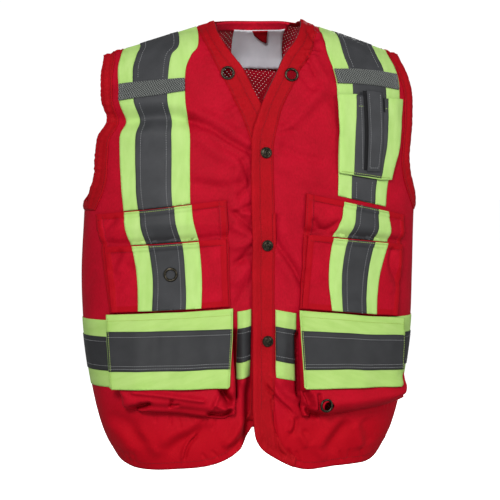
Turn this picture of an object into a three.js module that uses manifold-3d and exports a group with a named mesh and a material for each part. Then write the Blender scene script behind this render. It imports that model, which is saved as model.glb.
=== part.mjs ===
// A sleeveless work vest with solid fronts, a mesh back, reflective tapes and patch pockets,
// in the form it takes when worn.  Millimetres, +Z up, the front faces -Y, the wearer's right is -X.
// The origin lies between the shoulders at the height of the neck points.
import * as THREE from 'three';
import { mergeVertices } from 'three/addons/utils/BufferGeometryUtils.js';
import Module from 'manifold-3d';

const wasm = await Module();
wasm.setup();

// ---------------------------------------------------------------- named sizes
const CLOTH = 1.2;            // thickness of the panels and pockets
const TAPE = 1.0;             // thickness of tape, band and label
const GAP = 0.3;              // clearance between layers
const ROLL = 80;              // radius of the shoulder roll
const ARC = ROLL * Math.PI / 2;
const CREST_Y = -28;          // how far forward the shoulder crest lies
const CREST_TOP = 30;         // height the two shoulder slopes would meet at
const SLOPE = 0.322;          // fall of the shoulder line
const CHEST = 246;            // half width at the chest
const SQUARE = 2.35;          // how square the body's section is (2 is an ellipse)
const SEAM = 12;              // shoulder seam, ahead of the crest
const BIND = 13;              // width of the armhole binding
const ARMPIT = -250;          // height of the bottom of the armholes
const OVERLAP_LIFT = 3.0;     // the left front lies this much above the right one
const WAIST = { top: -418, silverTop: -442, silverBottom: -491, bottom: -515 };
const SNAP = { radius: 8, height: 3.2 };
const EYELET = { outer: 10.2, inner: 6.6, hole: 8.2 };

const table = (columns, data) => data.map(r => Object.fromEntries(columns.map((c, i) => [c, r[i]])));

// ---------------------------------------------------------------- body form
const BODY = table(['z', 'half', 'front', 'back', 'lean'], [
  [60, 246, 90, 84, 10],
  [-40, 246, 92, 92, 10],
  [-110, 246, 106, 102, 9],
  [-190, 246, 118, 106, 7],
  [-270, 246, 121, 104, 3],
  [-350, 247, 120, 98, 0],
  [-420, 245, 119, 95, 0],
  [-470, 240, 118, 96, 0],
  [-520, 232, 117, 99, 0],
  [-560, 223, 115, 100, 0],
  [-590, 213, 112, 99, 0],
  [-615, 200, 107, 96, 0],
  [-640, 184, 100, 92, 0],
]).reverse();

// the main dents (-) and folds (+) of the fronts, as strokes from (x0,z0) to (x1,z1)
const FOLDS = table(['x0', 'z0', 'x1', 'z1', 'wide', 'high'], [
  [-225, -134, -100, -128, 15, -7],
  [-100, -132, -30, -172, 14, 4],
  [-150, -108, -60, -112, 22, 3],
  [45, -130, 110, -95, 20, 3],
  [-42, -245, -30, -310, 14, 4],
  [25, -300, 45, -355, 14, -4],
  [-150, -565, -170, -630, 16, 5],
  [-105, -570, -100, -632, 15, 5],
  [-62, -560, -50, -612, 15, 4],
  [40, -560, 62, -630, 16, 5],
  [110, -570, 120, -632, 16, 5],
  [160, -560, 165, -628, 15, 4],
]);

function through(z, column) {
  const rows = BODY, n = rows.length;
  const t = Math.min(Math.max(z, rows[0].z), rows[n - 1].z);
  let i = 0;
  while (i < n - 2 && rows[i + 1].z <= t) i++;
  const slopeAt = k => {
    const a = rows[Math.max(k - 1, 0)], b = rows[Math.min(k + 1, n - 1)];
    return (b[column] - a[column]) / (b.z - a.z);
  };
  const h = rows[i + 1].z - rows[i].z, u = (t - rows[i].z) / h;
  return (2 * u ** 3 - 3 * u ** 2 + 1) * rows[i][column] + (u ** 3 - 2 * u ** 2 + u) * h * slopeAt(i)
    + (-2 * u ** 3 + 3 * u ** 2) * rows[i + 1][column] + (u ** 3 - u ** 2) * h * slopeAt(i + 1);
}

function crestHeight(ratio) {
  const x = CHEST * ratio;
  return CREST_TOP - SLOPE * (Math.sqrt(x * x + 225) - 15);
}

// u runs from side seam to side seam (-1..1), t down the cloth from the crest: + front, - back
function formPoint(u, t) {
  const ratio = Math.sin(u * Math.PI / 2), s = Math.abs(t);
  const crest = crestHeight(ratio), a = Math.min(s, ARC) / ROLL;
  const z = s < ARC ? crest - ROLL * (1 - Math.cos(a)) : crest - ROLL - (s - ARC);
  const round = Math.max(1 - Math.abs(ratio) ** SQUARE, 0) ** (1 / SQUARE);
  const flank = t >= 0 ? -through(z, 'front') : through(z, 'back');
  const y = round * (CREST_Y + (flank - CREST_Y) * Math.sin(a));
  return new THREE.Vector3(through(z, 'lean') + through(z, 'half') * ratio, y, z);
}

function fold(p) {
  let d = 0;
  for (const f of FOLDS) {
    const dx = f.x1 - f.x0, dz = f.z1 - f.z0, l2 = dx * dx + dz * dz;
    const k = Math.min(Math.max(((p.x - f.x0) * dx + (p.z - f.z0) * dz) / l2, 0), 1);
    const r = Math.hypot(p.x - f.x0 - k * dx, p.z - f.z0 - k * dz);
    d += f.high * Math.exp(-((r / f.wide) ** 2));
  }
  return d;
}

function formNormal(u, t) {
  const e = 0.01, ua = Math.max(u - e, -1), ub = Math.min(u + e, 1);
  const across = formPoint(ub, t).sub(formPoint(ua, t));
  const down = formPoint(u, t + 1).sub(formPoint(u, t - 1));
  return new THREE.Vector3().crossVectors(down, across).normalize();
}

// a grid of points and outward normals over the front (from the shoulder seam) or the back
function makeGrid(columns, ts, side) {
  const grid = [];
  for (const t of ts) {
    const row = [];
    for (let i = 0; i <= columns; i++) {
      const u = -1 + 2 * i / columns;
      const p = formPoint(u, t), n = formNormal(u, t);
      if (side > 0) p.addScaledVector(n, fold(p) * Math.abs(Math.sin(Math.PI * i / columns)) ** 0.3);
      if (i === 0 || i === columns) { n.set(Math.sign(u), 0, 0); if (t * side > ARC * 0.5) p.y = -0.25 * side; }
      row.push({ p, n });
    }
    grid.push(row);
  }
  return grid;
}

const spread = (a, b, n) => Array.from({ length: n + 1 }, (_, i) => a + (b - a) * i / n);
const FRONT = makeGrid(16, [...spread(SEAM + 0.2, ARC, 3), ...spread(ARC, 320, 6).slice(1), ...spread(320, 706, 7).slice(1)], 1);
const BACK = makeGrid(16, [SEAM - 0.2, ...spread(0, -ARC, 4).slice(1), ...spread(-ARC, -690, 8).slice(1)], -1);

// ---------------------------------------------------------------- solids
function toSolid(geometry) {
  const g = geometry.clone();
  g.deleteAttribute('normal');
  g.deleteAttribute('uv');
  const m = mergeVertices(g, 1e-4);
  return new wasm.Manifold(new wasm.Mesh({
    numProp: 3,
    vertProperties: new Float32Array(m.attributes.position.array),
    triVerts: new Uint32Array(m.index.array),
  }));
}

function toGeometry(solid) {
  const m = solid.getMesh();
  const g = new THREE.BufferGeometry();
  const xyz = new Float32Array(m.numVert * 3);
  for (let i = 0; i < m.numVert; i++) for (let k = 0; k < 3; k++) xyz[3 * i + k] = m.vertProperties[m.numProp * i + k];
  g.setAttribute('position', new THREE.BufferAttribute(xyz, 3));
  g.setIndex(new THREE.BufferAttribute(new Uint32Array(m.triVerts), 1));
  g.computeVertexNormals();
  return g;
}

// a sheet between two offsets of a grid; the offsets are numbers or functions of the point
function sheet(grid, low, high) {
  const rows = grid.length, cols = grid[0].length, xyz = [], tri = [];
  for (const off of [low, high]) for (const row of grid) for (const { p, n } of row) {
    const d = typeof off === 'function' ? off(p) : off;
    xyz.push(p.x + n.x * d, p.y + n.y * d, p.z + n.z * d);
  }
  const at = (layer, j, i) => layer * rows * cols + j * cols + i;
  const quad = (a, b, c, d) => tri.push(a, b, c, a, c, d);
  for (let j = 0; j < rows - 1; j++) for (let i = 0; i < cols - 1; i++) {
    quad(at(1, j, i), at(1, j + 1, i), at(1, j + 1, i + 1), at(1, j, i + 1));
    const a = at(0, j, i), b = at(0, j + 1, i), c = at(0, j + 1, i + 1), d = at(0, j, i + 1);
    tri.push(a, c, b, a, d, c);
  }
  for (let i = 0; i < cols - 1; i++) {
    quad(at(0, 0, i), at(1, 0, i), at(1, 0, i + 1), at(0, 0, i + 1));
    quad(at(0, rows - 1, i), at(0, rows - 1, i + 1), at(1, rows - 1, i + 1), at(1, rows - 1, i));
  }
  for (let j = 0; j < rows - 1; j++) {
    quad(at(0, j, 0), at(0, j + 1, 0), at(1, j + 1, 0), at(1, j, 0));
    quad(at(0, j, cols - 1), at(1, j, cols - 1), at(1, j + 1, cols - 1), at(0, j + 1, cols - 1));
  }
  const g = new THREE.BufferGeometry();
  g.setAttribute('position', new THREE.Float32BufferAttribute(xyz, 3));
  g.setIndex(tri);
  const solid = toSolid(g);
  return solid.volume() < 0 ? toSolid(flip(g)) : solid;
}

function flip(g) {
  const f = g.clone(), ix = f.index.array;
  for (let i = 0; i < ix.length; i += 3) { const k = ix[i + 1]; ix[i + 1] = ix[i + 2]; ix[i + 2] = k; }
  return f;
}

// a prism along Y over an outline of [x, z] points
function prism(outline) {
  const shape = new THREE.Shape(outline.map(([x, z]) => new THREE.Vector2(x, z)));
  const g = new THREE.ExtrudeGeometry(shape, { depth: 800, bevelEnabled: false });
  g.rotateX(Math.PI / 2);
  g.translate(0, 400, 0);
  return toSolid(g);
}

const disc = (x, z, r, n = 12) => spread(0, 2 * Math.PI, n).slice(0, n).map(a => [x + r * Math.cos(a), z + r * Math.sin(a)]);
const mirrored = outline => outline.map(([x, z]) => [-x, z]).reverse();

// the outline of a strip whose left and right edges are columns of a table of rows
const strip = (rows, left, right) => [...rows.map(r => [r[left], r[left + 'Z'] ?? r.z]), ...[...rows].reverse().map(r => [r[right], r[right + 'Z'] ?? r.z])];

const group = new THREE.Group();
const COLOUR = { red: 0xb10f22, lime: 0xb4e56a, silver: 0x4b4d50, web: 0x63676a, brass: 0x3b362c, label: 0xb9bcc4, strap: 0x4a4c50 };
const FINISH = {
  red: [0.82, 0], lime: [0.7, 0], silver: [0.45, 0.1], web: [0.9, 0], brass: [0.35, 0.9], label: [0.4, 0], strap: [0.6, 0],
};
function add(name, solid, finish) {
  const [roughness, metalness] = FINISH[finish];
  const mesh = new THREE.Mesh(toGeometry(solid), new THREE.MeshStandardMaterial({ color: COLOUR[finish], roughness, metalness }));
  mesh.name = name;
  group.add(mesh);
}
function addGeometry(name, geometry, finish) {
  const [roughness, metalness] = FINISH[finish];
  const mesh = new THREE.Mesh(geometry, new THREE.MeshStandardMaterial({ color: COLOUR[finish], roughness, metalness }));
  mesh.name = name;
  group.add(mesh);
  return mesh;
}

// ---------------------------------------------------------------- outlines of the panels
// front armholes: x of the edge on each side
const ARMHOLE = table(['z', 'right', 'left', 'back'], [
  [-36, -214, 219, 203],
  [-64, -220, 230, 200],
  [-92, -220.5, 236, 198],
  [-137, -218, 233, 199],
  [-155, -225, 230, 201],
  [-187, -229.5, 227, 208],
  [-212, -231.5, 231, 217],
  [-232, -236, 239, 228],
]);
const FAR = 330;
function armhole(side, column, grow) {
  const s = side === 'right' ? -1 : 1;
  const edge = ARMHOLE.map(r => [column === 'back' ? s * r.back + 4 : r[column], r.z]).map(([x, z]) => [x - s * grow, z - grow * 0.25]);
  const first = edge[0][0];
  const lowX = s * 243 + 4 - s * grow * 0.5;
  return [[s * FAR, 90], [first, 90], ...edge, [lowX, ARMPIT - grow * 0.9], [s * FAR, ARMPIT - grow * 0.9]];
}

const RIGHT_FRONT = [
  [-56, 90], [-57, 12], [-58, 2], [-55.5, -9], [-47, -27], [-36.5, -42.7], [-26, -57.5], [-1.3, -108], [10, -132], [17, -165], [17, -530],
  [-13, -578], [-27, -600], [-45, -615.5], [-71, -626.5], [-105, -632.5], [-165, -635.5],
  [-190, -629], [-207, -612], [-FAR, -608], [-FAR, 90],
];
const LEFT_FRONT = [
  [69, 90], [69, 12], [64.5, 3], [54, -15.5], [36, -38], [22.5, -65], [1.8, -104], [-7.6, -128], [-14.5, -146], [-18.5, -180],
  [-17, -431], [-16.5, -545], [-10, -590], [11.5, -613], [57.6, -634.5], [110, -635],
  [178, -631], [204, -613], [FAR, -608], [FAR, 90],
];
// outer edge of the band that runs round the neck and down the closing edge
const BAND = table(['z', 'right', 'left'], [
  [90, -78, 92],
  [-5, -81, 89],
  [-41.5, -68.5, 72.5],
  [-60, -60.5, 57.8],
  [-84, -48, 45.7],
  [-111, -36.5, 30.5],
  [-130, -28, 23.8],
  [-172, -17.4, 14.5],
  [-250, -16.5, 15],
  [-545, -17, 15.5],
]);
const bandOutline = side => [
  ...BAND.map(r => [r[side], r.z]),
  ...(side === 'right' ? [[-24, -566], [70, -566], [70, 90]] : [[18, -575], [32, -603], [50, -618], [40, -660], [-70, -660], [-70, 90]]),
];
const BACK_OUTLINE = [
  [-57, 13.3], [-30, 16], [9, 17.6], [48, 17], [70, 13.5], [70, 95], [FAR, 95], [FAR, -608], [150, -606], [60, -600], [0, -598],
  [-60, -600], [-150, -606], [-FAR, -608], [-FAR, 95], [-57, 95],
];

const over = p => {   // lift of the left front where it lies on the right one
  const k = Math.min(Math.max((96 - p.x) / 47, 0), 1);
  return OVERLAP_LIFT * k * k * (3 - 2 * k);
};
const lift = (f, d) => p => f(p) + d;
const none = () => 0;
const frontOf = side => (side === 'left' ? over : none);

// ---------------------------------------------------------------- panels, bands, bindings
const NECK_EYELET = { right: [-48, -64], left: [44, -66] };
const outlineOf = { right: prism(RIGHT_FRONT), left: prism(LEFT_FRONT) };
const backPrism = prism(BACK_OUTLINE);

add('back_panel', sheet(BACK, -CLOTH, 0).intersect(backPrism)
  .subtract(prism(armhole('right', 'back', 0))).subtract(prism(armhole('left', 'back', 0))), 'red');

for (const side of ['right', 'left']) {
  const f = frontOf(side), hole = prism(armhole(side, side, 0)), eye = prism(disc(...NECK_EYELET[side], EYELET.hole));
  add(`front_panel_${side}`, sheet(FRONT, lift(f, -CLOTH), f).intersect(outlineOf[side]).subtract(hole).subtract(eye), 'red');
  add(`front_band_${side}`, sheet(FRONT, lift(f, GAP), lift(f, GAP + TAPE)).intersect(outlineOf[side]).intersect(prism(bandOutline(side))).subtract(eye), 'red');
  add(`armhole_binding_front_${side}`, sheet(FRONT, GAP, GAP + CLOTH).intersect(prism(armhole(side, side, BIND))).subtract(hole), 'red');
  add(`armhole_binding_back_${side}`, sheet(BACK, GAP, GAP + CLOTH).intersect(prism(armhole(side, 'back', BIND)))
    .subtract(prism(armhole(side, 'back', 0))), 'red');
}
// facing inside the back neck, with the label and the hanging loop sewn under it
const FACING = [[-60, 7], [-30, 9], [9, 9.5], [48, 9], [78, 7], [78, 90], [-18, 90], [-22, 15.4], [-60, 14]];
const facingPrism = prism([[-48, 0], [62, 0], [62, 90], [-48, 90]]);
const settle = p => -4.5 * Math.min(Math.max((p.z + 30) / 38, 0), 1) * Math.min(Math.max(p.y / 20, 0), 1);
add('neck_facing_back', sheet(BACK, -CLOTH - GAP - TAPE, -CLOTH - GAP).intersect(backPrism).intersect(prism(FACING)).intersect(facingPrism), 'red');
add('neck_label', sheet(BACK, lift(settle, -5.2), lift(settle, -4.4)).intersect(prism([[-17, 8.5], [60, 8.5], [71, -46], [69, -49], [-6, -49], [-8.5, -46]])), 'label');
add('hang_loop', sheet(BACK, lift(settle, -6.8), lift(settle, -5.8)).intersect(prism([[15, 9], [38, 9], [41, -7], [20, 3.5]])), 'red');

// ---------------------------------------------------------------- tapes
// rows down a tape: outer edge, silver, silver, inner edge (left to right as seen from the front)
const TAPE_A = {
  right: table(['z', 'a', 'b', 'c', 'd'], [
    [90, -181, -159, -104, -76], [-20, -186, -164, -112, -86], [-38, -193, -172, -125, -98], [-60, -199, -179, -131, -107.5],
    [-103, -198.5, -179, -134, -109.5], [-133, -194, -174, -129, -106], [-153, -198.5, -177.5, -130, -104.5],
    [-187, -200.5, -180, -131, -105.7], [-230, -199.5, -180, -131.5, -106], [-247, -196.5, -177, -130, -105],
  ]),
  left: table(['z', 'a', 'b', 'c', 'd'], [
    [90, 93, 118, 170, 192], [-29, 101.5, 126, 180, 202], [-55, 108.5, 132.5, 187.5, 210], [-80, 112.5, 136.5, 190, 214],
    [-130, 113, 136.5, 187, 209], [-180, 111, 133, 178, 199], [-232, 109.5, 130, 167, 186],
  ]),
};
const TAPE_A_END = {   // the slanted lower ends, at the mouths of the upper pockets
  right: { a: -261.5, b: -259.5, c: -254, d: -250.5 },
  left: { a: -240, b: -244.5, c: -252, d: -256 },
};
function tapeOutline(rows, left, right, end) {
  const last = rows[rows.length - 1];
  const body = end ? [...rows.filter(r => r.z > Math.max(...Object.values(end)) + 3), Object.assign({}, last, { [left + 'Z']: end[left], [right + 'Z']: end[right] })] : rows;
  return strip(body, left, right);
}
for (const side of ['right', 'left']) {
  const rows = TAPE_A[side], end = TAPE_A_END[side];
  add(`shoulder_tape_${side}`, sheet(FRONT, GAP, GAP + TAPE).intersect(prism(tapeOutline(rows, 'a', 'd', end))), 'lime');
  add(`shoulder_tape_silver_${side}`, sheet(FRONT, 2 * GAP + TAPE, 2 * GAP + 2 * TAPE).intersect(prism(tapeOutline(rows, 'b', 'c', end))), 'silver');
}

// crossed tapes on the back: centre line from the shoulder seam to the waist tape
const BACK_TAPE = { half: 51, silver: 25.4, top: [-142, 5], cross: [6, -250] };
function backTape(sign, half) {
  const [x0, z0] = BACK_TAPE.top, [xc, zc] = BACK_TAPE.cross;
  const dx = xc - x0, dz = zc - z0, l = Math.hypot(dx, dz), nx = -dz / l * half, nz = dx / l * half;
  const at = k => [x0 + dx * k, z0 + dz * k];
  const [ax, az] = at(-0.9), [bx, bz] = at(3.2);
  const o = [[ax + nx, az + nz], [bx + nx, bz + nz], [bx - nx, bz - nz], [ax - nx, az - nz]];
  return sign > 0 ? o : o.map(([x, z]) => [2 * xc - x, z]).reverse();
}
const backTapeField = (x0, x1) => prism([[x0, WAIST.top + 1], [x1, WAIST.top + 1], [x1, 95], [x0, 95]]);
[['right', 1, 0, [-186, 240]], ['left', -1, 2 * (GAP + TAPE), [-240, 194]]].forEach(([side, sign, d, span]) => {
  const field = backTapeField(...span);
  add(`back_tape_${side}`, sheet(BACK, d + GAP, d + GAP + TAPE).intersect(prism(backTape(sign, BACK_TAPE.half))).intersect(field), 'lime');
  add(`back_tape_silver_${side}`, sheet(BACK, d + 2 * GAP + TAPE, d + 2 * (GAP + TAPE)).intersect(prism(backTape(sign, BACK_TAPE.silver))).intersect(field), 'silver');
});
const level = (x0, x1, z1, z0) => [[x0, z0], [x1, z0], [x1, z1], [x0, z1]];
add('waist_tape_back', sheet(BACK, GAP, GAP + TAPE).intersect(prism(level(-FAR, FAR, WAIST.top, WAIST.bottom))), 'lime');
add('waist_tape_back_silver', sheet(BACK, 2 * GAP + TAPE, 2 * (GAP + TAPE)).intersect(prism(level(-FAR, FAR, WAIST.silverTop, WAIST.silverBottom))), 'silver');

// waist tape on the fronts: a piece at each side seam and one on each side of the closing
const WAIST_SIDE = { right: [-FAR, -192], left: [188, FAR] };
const WAIST_CENTRE = table(['side', 'x0', 'x1', 'drop0', 'drop1'], [
  ['right', -38.5, -18.6, 13, 17],
  ['left', 16.5, 47, 16, 10],
]);
for (const side of ['right', 'left']) {
  const [x0, x1] = WAIST_SIDE[side];
  add(`waist_tape_side_${side}`, sheet(FRONT, GAP, GAP + TAPE).intersect(prism(level(x0, x1, WAIST.top, WAIST.bottom))), 'lime');
  add(`waist_tape_side_silver_${side}`, sheet(FRONT, 2 * GAP + TAPE, 2 * (GAP + TAPE)).intersect(prism(level(x0, x1, WAIST.silverTop, WAIST.silverBottom))), 'silver');
}
for (const c of WAIST_CENTRE) {
  const f = frontOf(c.side), slant = (top, bottom) => [[c.x0, bottom + c.drop0], [c.x1, bottom + c.drop1], [c.x1, top + c.drop1], [c.x0, top + c.drop0]];
  add(`waist_tape_centre_${c.side}`, sheet(FRONT, lift(f, GAP), lift(f, GAP + TAPE)).intersect(prism(slant(WAIST.top, WAIST.bottom))), 'lime');
  add(`waist_tape_centre_silver_${c.side}`, sheet(FRONT, lift(f, 2 * GAP + TAPE), lift(f, 2 * (GAP + TAPE))).intersect(prism(slant(WAIST.silverTop, WAIST.silverBottom))), 'silver');
}

// ---------------------------------------------------------------- pockets
// corners of each patch: [outer, inner] at the top, at the second mouth and at the bottom
const POCKET = {
  right: { top: [[-230, -267], [-54.5, -245]], second: [[-222, -313], [-52.5, -301]], bottom: [[-214, -408], [-48, -398.5]] },
  left: { top: [[217, -269], [60, -236]], second: [[216, -311], [60, -295]], bottom: [[207, -418], [52, -402]] },
};
const TAPE_BC = {
  right: { b: [[-193.5, -173.4, -127, -103.2], [-186, -165.2, -118.3, -94]], c: [[-182.5, -161, -116.8, -94], [-176, -156.5, -112, -90]] },
  left: { b: [[116, 134, 168, 186], [100.5, 122.5, 162.5, 187]], c: [[99.5, 119.5, 161, 182.5], [99, 114.5, 150.5, 167.5]] },
};
const lerp = (p, q, x) => p[1] + (q[1] - p[1]) * (x - p[0]) / (q[0] - p[0]);
const patch = (upper, lower) => [upper[0], upper[1], lower[1], lower[0]];
function puff(k, high) {   // the bow of a pocket's cloth, none along the sewn edges
  return p => {
    const [o, i] = k.top, mid = (o[0] + i[0]) / 2, half = Math.abs(i[0] - o[0]) / 2;
    const a = Math.max(1 - ((p.x - mid) / half) ** 2, 0);
    const v = Math.min(Math.max((p.z - k.bottom[0][1]) / 150, 0), 1);
    return high * a * (0.35 + 0.65 * v);
  };
}
const FLAP = {
  right: { top: [[-216, -410.5], [-45, -401]], bottom: [[-201, -512.5], [-51.5, -511.5]], silver: [[-433, -428], [-488, -484]] },
  left: { top: [[211, -420.5], [50.5, -404]], bottom: [[196, -516], [51.5, -513.5]], silver: [[-443.5, -432.5], [-492, -486.5]] },
};
const flapStand = p => 4.2 + 23 * Math.min(Math.max((-402 - p.z) / 112, 0), 1) ** 0.85;

for (const side of ['right', 'left']) {
  const k = POCKET[side], w = frontOf(side), f = p => w(p) + puff(k, 5)(p), g = p => w(p) + puff(k, 8)(p), t = TAPE_BC[side], s = side === 'right' ? -1 : 1;
  const mouth = x => lerp(k.top[0], k.top[1], x), second = x => lerp(k.second[0], k.second[1], x), foot = x => lerp(k.bottom[0], k.bottom[1], x);
  add(`upper_pocket_${side}`, sheet(FRONT, lift(f, 1), lift(f, 1 + CLOTH)).intersect(prism(patch(k.top, k.bottom))), 'red');
  const inset = side === 'right' ? 3 : -3;
  const tier = [[k.second[0][0] + inset, k.second[0][1]], [k.second[1][0] - inset, k.second[1][1]], [k.bottom[1][0] - inset, k.bottom[1][1] + 1], [k.bottom[0][0] + inset, k.bottom[0][1] + 1]];
  const base = 1 + CLOTH + GAP;
  add(`lower_pocket_${side}`, sheet(FRONT, lift(g, base), lift(g, base + CLOTH)).intersect(prism(tier)), 'red');
  const runs = [['upper', f, 1 + CLOTH, t.b, x => mouth(x) - 0.8, x => second(x) + 0.8], ['lower', g, base + CLOTH, t.c, x => second(x) - 0.8, x => foot(x) + 1.8]];
  for (const [tag, h, d, [up, low], zTop, zLow] of runs) {
    const quad = (i, j) => [[up[i], zTop(up[i])], [up[j], zTop(up[j])], [low[j], zLow(low[j])], [low[i], zLow(low[i])]];
    add(`pocket_tape_${tag}_${side}`, sheet(FRONT, lift(h, d + GAP), lift(h, d + GAP + TAPE)).intersect(prism(quad(0, 3))), 'lime');
    add(`pocket_tape_${tag}_silver_${side}`, sheet(FRONT, lift(h, d + 2 * GAP + TAPE), lift(h, d + 2 * (GAP + TAPE))).intersect(prism(quad(1, 2))), 'silver');
  }
  // flap over the cargo pocket
  const q = FLAP[side], hang = p => w(p) + flapStand(p);
  add(`flap_${side}`, sheet(FRONT, hang, lift(hang, CLOTH)).intersect(prism(patch(q.top, q.bottom))), 'lime');
  const corner = (e, i) => {
    const [a, b, z] = [q.top[e], q.bottom[e], q.silver[i][e]];
    return [a[0] + (b[0] - a[0]) * (z - a[1]) / (b[1] - a[1]) + s * (e ? 5 : -3), z];
  };
  add(`flap_silver_${side}`, sheet(FRONT, lift(hang, CLOTH + GAP), lift(hang, CLOTH + GAP + TAPE)).intersect(prism([corner(0, 0), corner(1, 0), corner(1, 1), corner(0, 1)])), 'silver');
  // cargo pocket: a standing patch with side and bottom walls, open at its mouth; the front panel is its back
  const CARGO = side === 'right'
    ? [[-202, -424], [-52, -416], [-49, -430], [-41, -548], [-53, -555], [-64, -557], [-120, -550], [-184, -543], [-192, -520]]
    : [[200, -432], [55, -420], [50, -432], [54, -552], [60, -558], [76, -556], [140, -549], [204, -539], [209, -524]];
  const c0 = CARGO.reduce((m, v) => [m[0] + v[0] / CARGO.length, m[1] + v[1] / CARGO.length], [0, 0]);
  const cavity = CARGO.map(([x, z], i) => {
    const l = Math.hypot(x - c0[0], z - c0[1]);
    return i < 2 ? [x + (c0[0] - x) / l * 2.4, z + 30] : [x + (c0[0] - x) / l * 2.4, z + (c0[1] - z) / l * 2.4];
  });
  const stand = p => hang(p) - GAP - 0.4;
  let shell = sheet(FRONT, lift(w, 3), stand).intersect(prism(CARGO)).subtract(sheet(FRONT, lift(w, 1), lift(stand, -CLOTH)).intersect(prism(cavity)));
  if (side === 'left') shell = shell.subtract(prism(disc(88, -540, EYELET.hole)));
  add(`cargo_pocket_${side}`, shell, 'red');
}

// ---------------------------------------------------------------- shoulder tabs and radio pocket
const TAB = {
  right: [[-198.5, -80.5], [-150, -75.5], [-109, -72.5], [-109.5, -91], [-150, -97], [-198.5, -104.5]],
  left: [[109, -57.5], [160, -58.5], [209.5, -64], [211, -86.5], [160, -80], [113, -78]],
};
for (const side of ['right', 'left']) {
  add(`shoulder_tab_${side}`, sheet(FRONT, 2.9, 4.4).intersect(prism(TAB[side])), 'web');
}
const RADIO = [[111, -94], [140, -94.5], [190, -99.5], [217, -100.5], [205, -165], [192, -217], [172, -217], [109.5, -207.5]];
const radioPuff = p => 6 * Math.max(1 - ((p.x - 155) / 62) ** 2, 0) * Math.max(1 - ((p.z + 150) / 90) ** 2, 0);
add('radio_pocket', sheet(FRONT, lift(radioPuff, 2.9), lift(radioPuff, 2.9 + TAPE)).intersect(prism(RADIO)), 'lime');
add('radio_pocket_silver', sheet(FRONT, lift(radioPuff, 4.2), lift(radioPuff, 5.2)).intersect(prism([[139, -96], [188.5, -101], [183, -160], [173.5, -215], [131.5, -210], [134, -160]])), 'silver');
add('radio_strap', sheet(FRONT, lift(radioPuff, 5.5), lift(radioPuff, 6.9)).intersect(prism([[152, -89], [178, -92], [176, -150], [170.5, -206], [150.5, -206], [151, -150]])), 'strap');

// ---------------------------------------------------------------- snaps and eyelets
function onFront(x, z, d) {   // the point and normal of the front's form at x, z
  let u = Math.asin((x - through(z, 'lean')) / through(z, 'half')) / (Math.PI / 2);
  const crest = crestHeight(Math.sin(u * Math.PI / 2)), fall = crest - z;
  const t = fall < ROLL ? Math.acos(1 - fall / ROLL) * ROLL : ARC + fall - ROLL;
  const p = formPoint(u, t), n = formNormal(u, t);
  p.addScaledVector(n, fold(p));
  return { p: p.addScaledVector(n, typeof d === 'function' ? d(p) : d), n };
}
function place(mesh, x, z, d) {   // the standing-off point itself comes to x, z
  let bx = x, bz = z, p, n;
  for (let i = 0; i < 6; i++) {
    ({ p, n } = onFront(bx, bz, d));
    bx += x - p.x;
    bz += z - p.z;
  }
  mesh.position.copy(p);
  mesh.quaternion.setFromUnitVectors(new THREE.Vector3(0, 1, 0), n);
}
const v2 = list => list.map(([r, h]) => new THREE.Vector2(r, h));
const SNAPS = table(['name', 'x', 'z'], [['snap_top', 2.7, -178], ['snap_middle', 4.1, -310.5], ['snap_bottom', 4.7, -447.5]]);
for (const s of SNAPS) {
  const cap = new THREE.LatheGeometry(v2([[0, 0], [SNAP.radius - 0.6, 0], [SNAP.radius, 0.8], [SNAP.radius - 0.4, 1.7], [SNAP.radius - 1.8, 2.4], [SNAP.radius - 2.6, 2.1], [0, SNAP.height - 0.5]]), 12);
  place(addGeometry(s.name, cap, 'brass'), s.x, s.z, p => over(p) + GAP + TAPE + 1.5);
}
const ring = low => new THREE.LatheGeometry(v2([
  [EYELET.inner, low], [EYELET.inner + 0.7, low], [EYELET.inner + 0.7, 0], [EYELET.outer, 0], [EYELET.outer - 0.2, 0.9], [EYELET.outer - 1.6, 1.6], [EYELET.inner, 1.2], [EYELET.inner, low],
]), 12);
place(addGeometry('eyelet_neck_right', ring(-2.4), 'brass'), ...NECK_EYELET.right, GAP + TAPE + 1.5);
place(addGeometry('eyelet_neck_left', ring(-2.4), 'brass'), ...NECK_EYELET.left, p => over(p) + GAP + TAPE + 1.5);
place(addGeometry('eyelet_pocket_tape', ring(-0.3), 'brass'), -134.3, -351, p => puff(POCKET.right, 8)(p) + 1 + 2 * CLOTH + 3 * GAP + 2 * TAPE + 1.4);
place(addGeometry('eyelet_cargo', ring(-1.6), 'brass'), 88, -540, p => over(p) + flapStand(p) + 0.7);

export default group;
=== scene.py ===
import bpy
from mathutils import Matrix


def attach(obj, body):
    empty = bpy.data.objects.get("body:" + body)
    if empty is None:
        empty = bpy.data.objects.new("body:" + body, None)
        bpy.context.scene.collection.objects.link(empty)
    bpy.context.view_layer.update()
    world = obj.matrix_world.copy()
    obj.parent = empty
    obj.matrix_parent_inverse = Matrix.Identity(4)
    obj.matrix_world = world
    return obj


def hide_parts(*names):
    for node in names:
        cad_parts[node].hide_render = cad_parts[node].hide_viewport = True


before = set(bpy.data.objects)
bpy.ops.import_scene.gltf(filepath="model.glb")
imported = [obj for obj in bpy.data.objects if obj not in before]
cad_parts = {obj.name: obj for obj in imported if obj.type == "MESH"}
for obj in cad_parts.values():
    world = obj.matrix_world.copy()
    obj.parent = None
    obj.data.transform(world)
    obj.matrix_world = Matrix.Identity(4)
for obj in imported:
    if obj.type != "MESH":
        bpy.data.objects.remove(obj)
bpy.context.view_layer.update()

import math
import time

import bpy
import numpy as np
from mathutils import Vector
from mathutils.geometry import delaunay_2d_cdt

# A sleeveless work vest in the form it takes when worn. Lengths in the tables are millimetres in the
# part's frame: the front faces -Y, the wearer's right is -X. Every sheet of cloth is laid over one body
# form, cut to its own outline, and lifted along the form's normal by its folds and by its layer.

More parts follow.
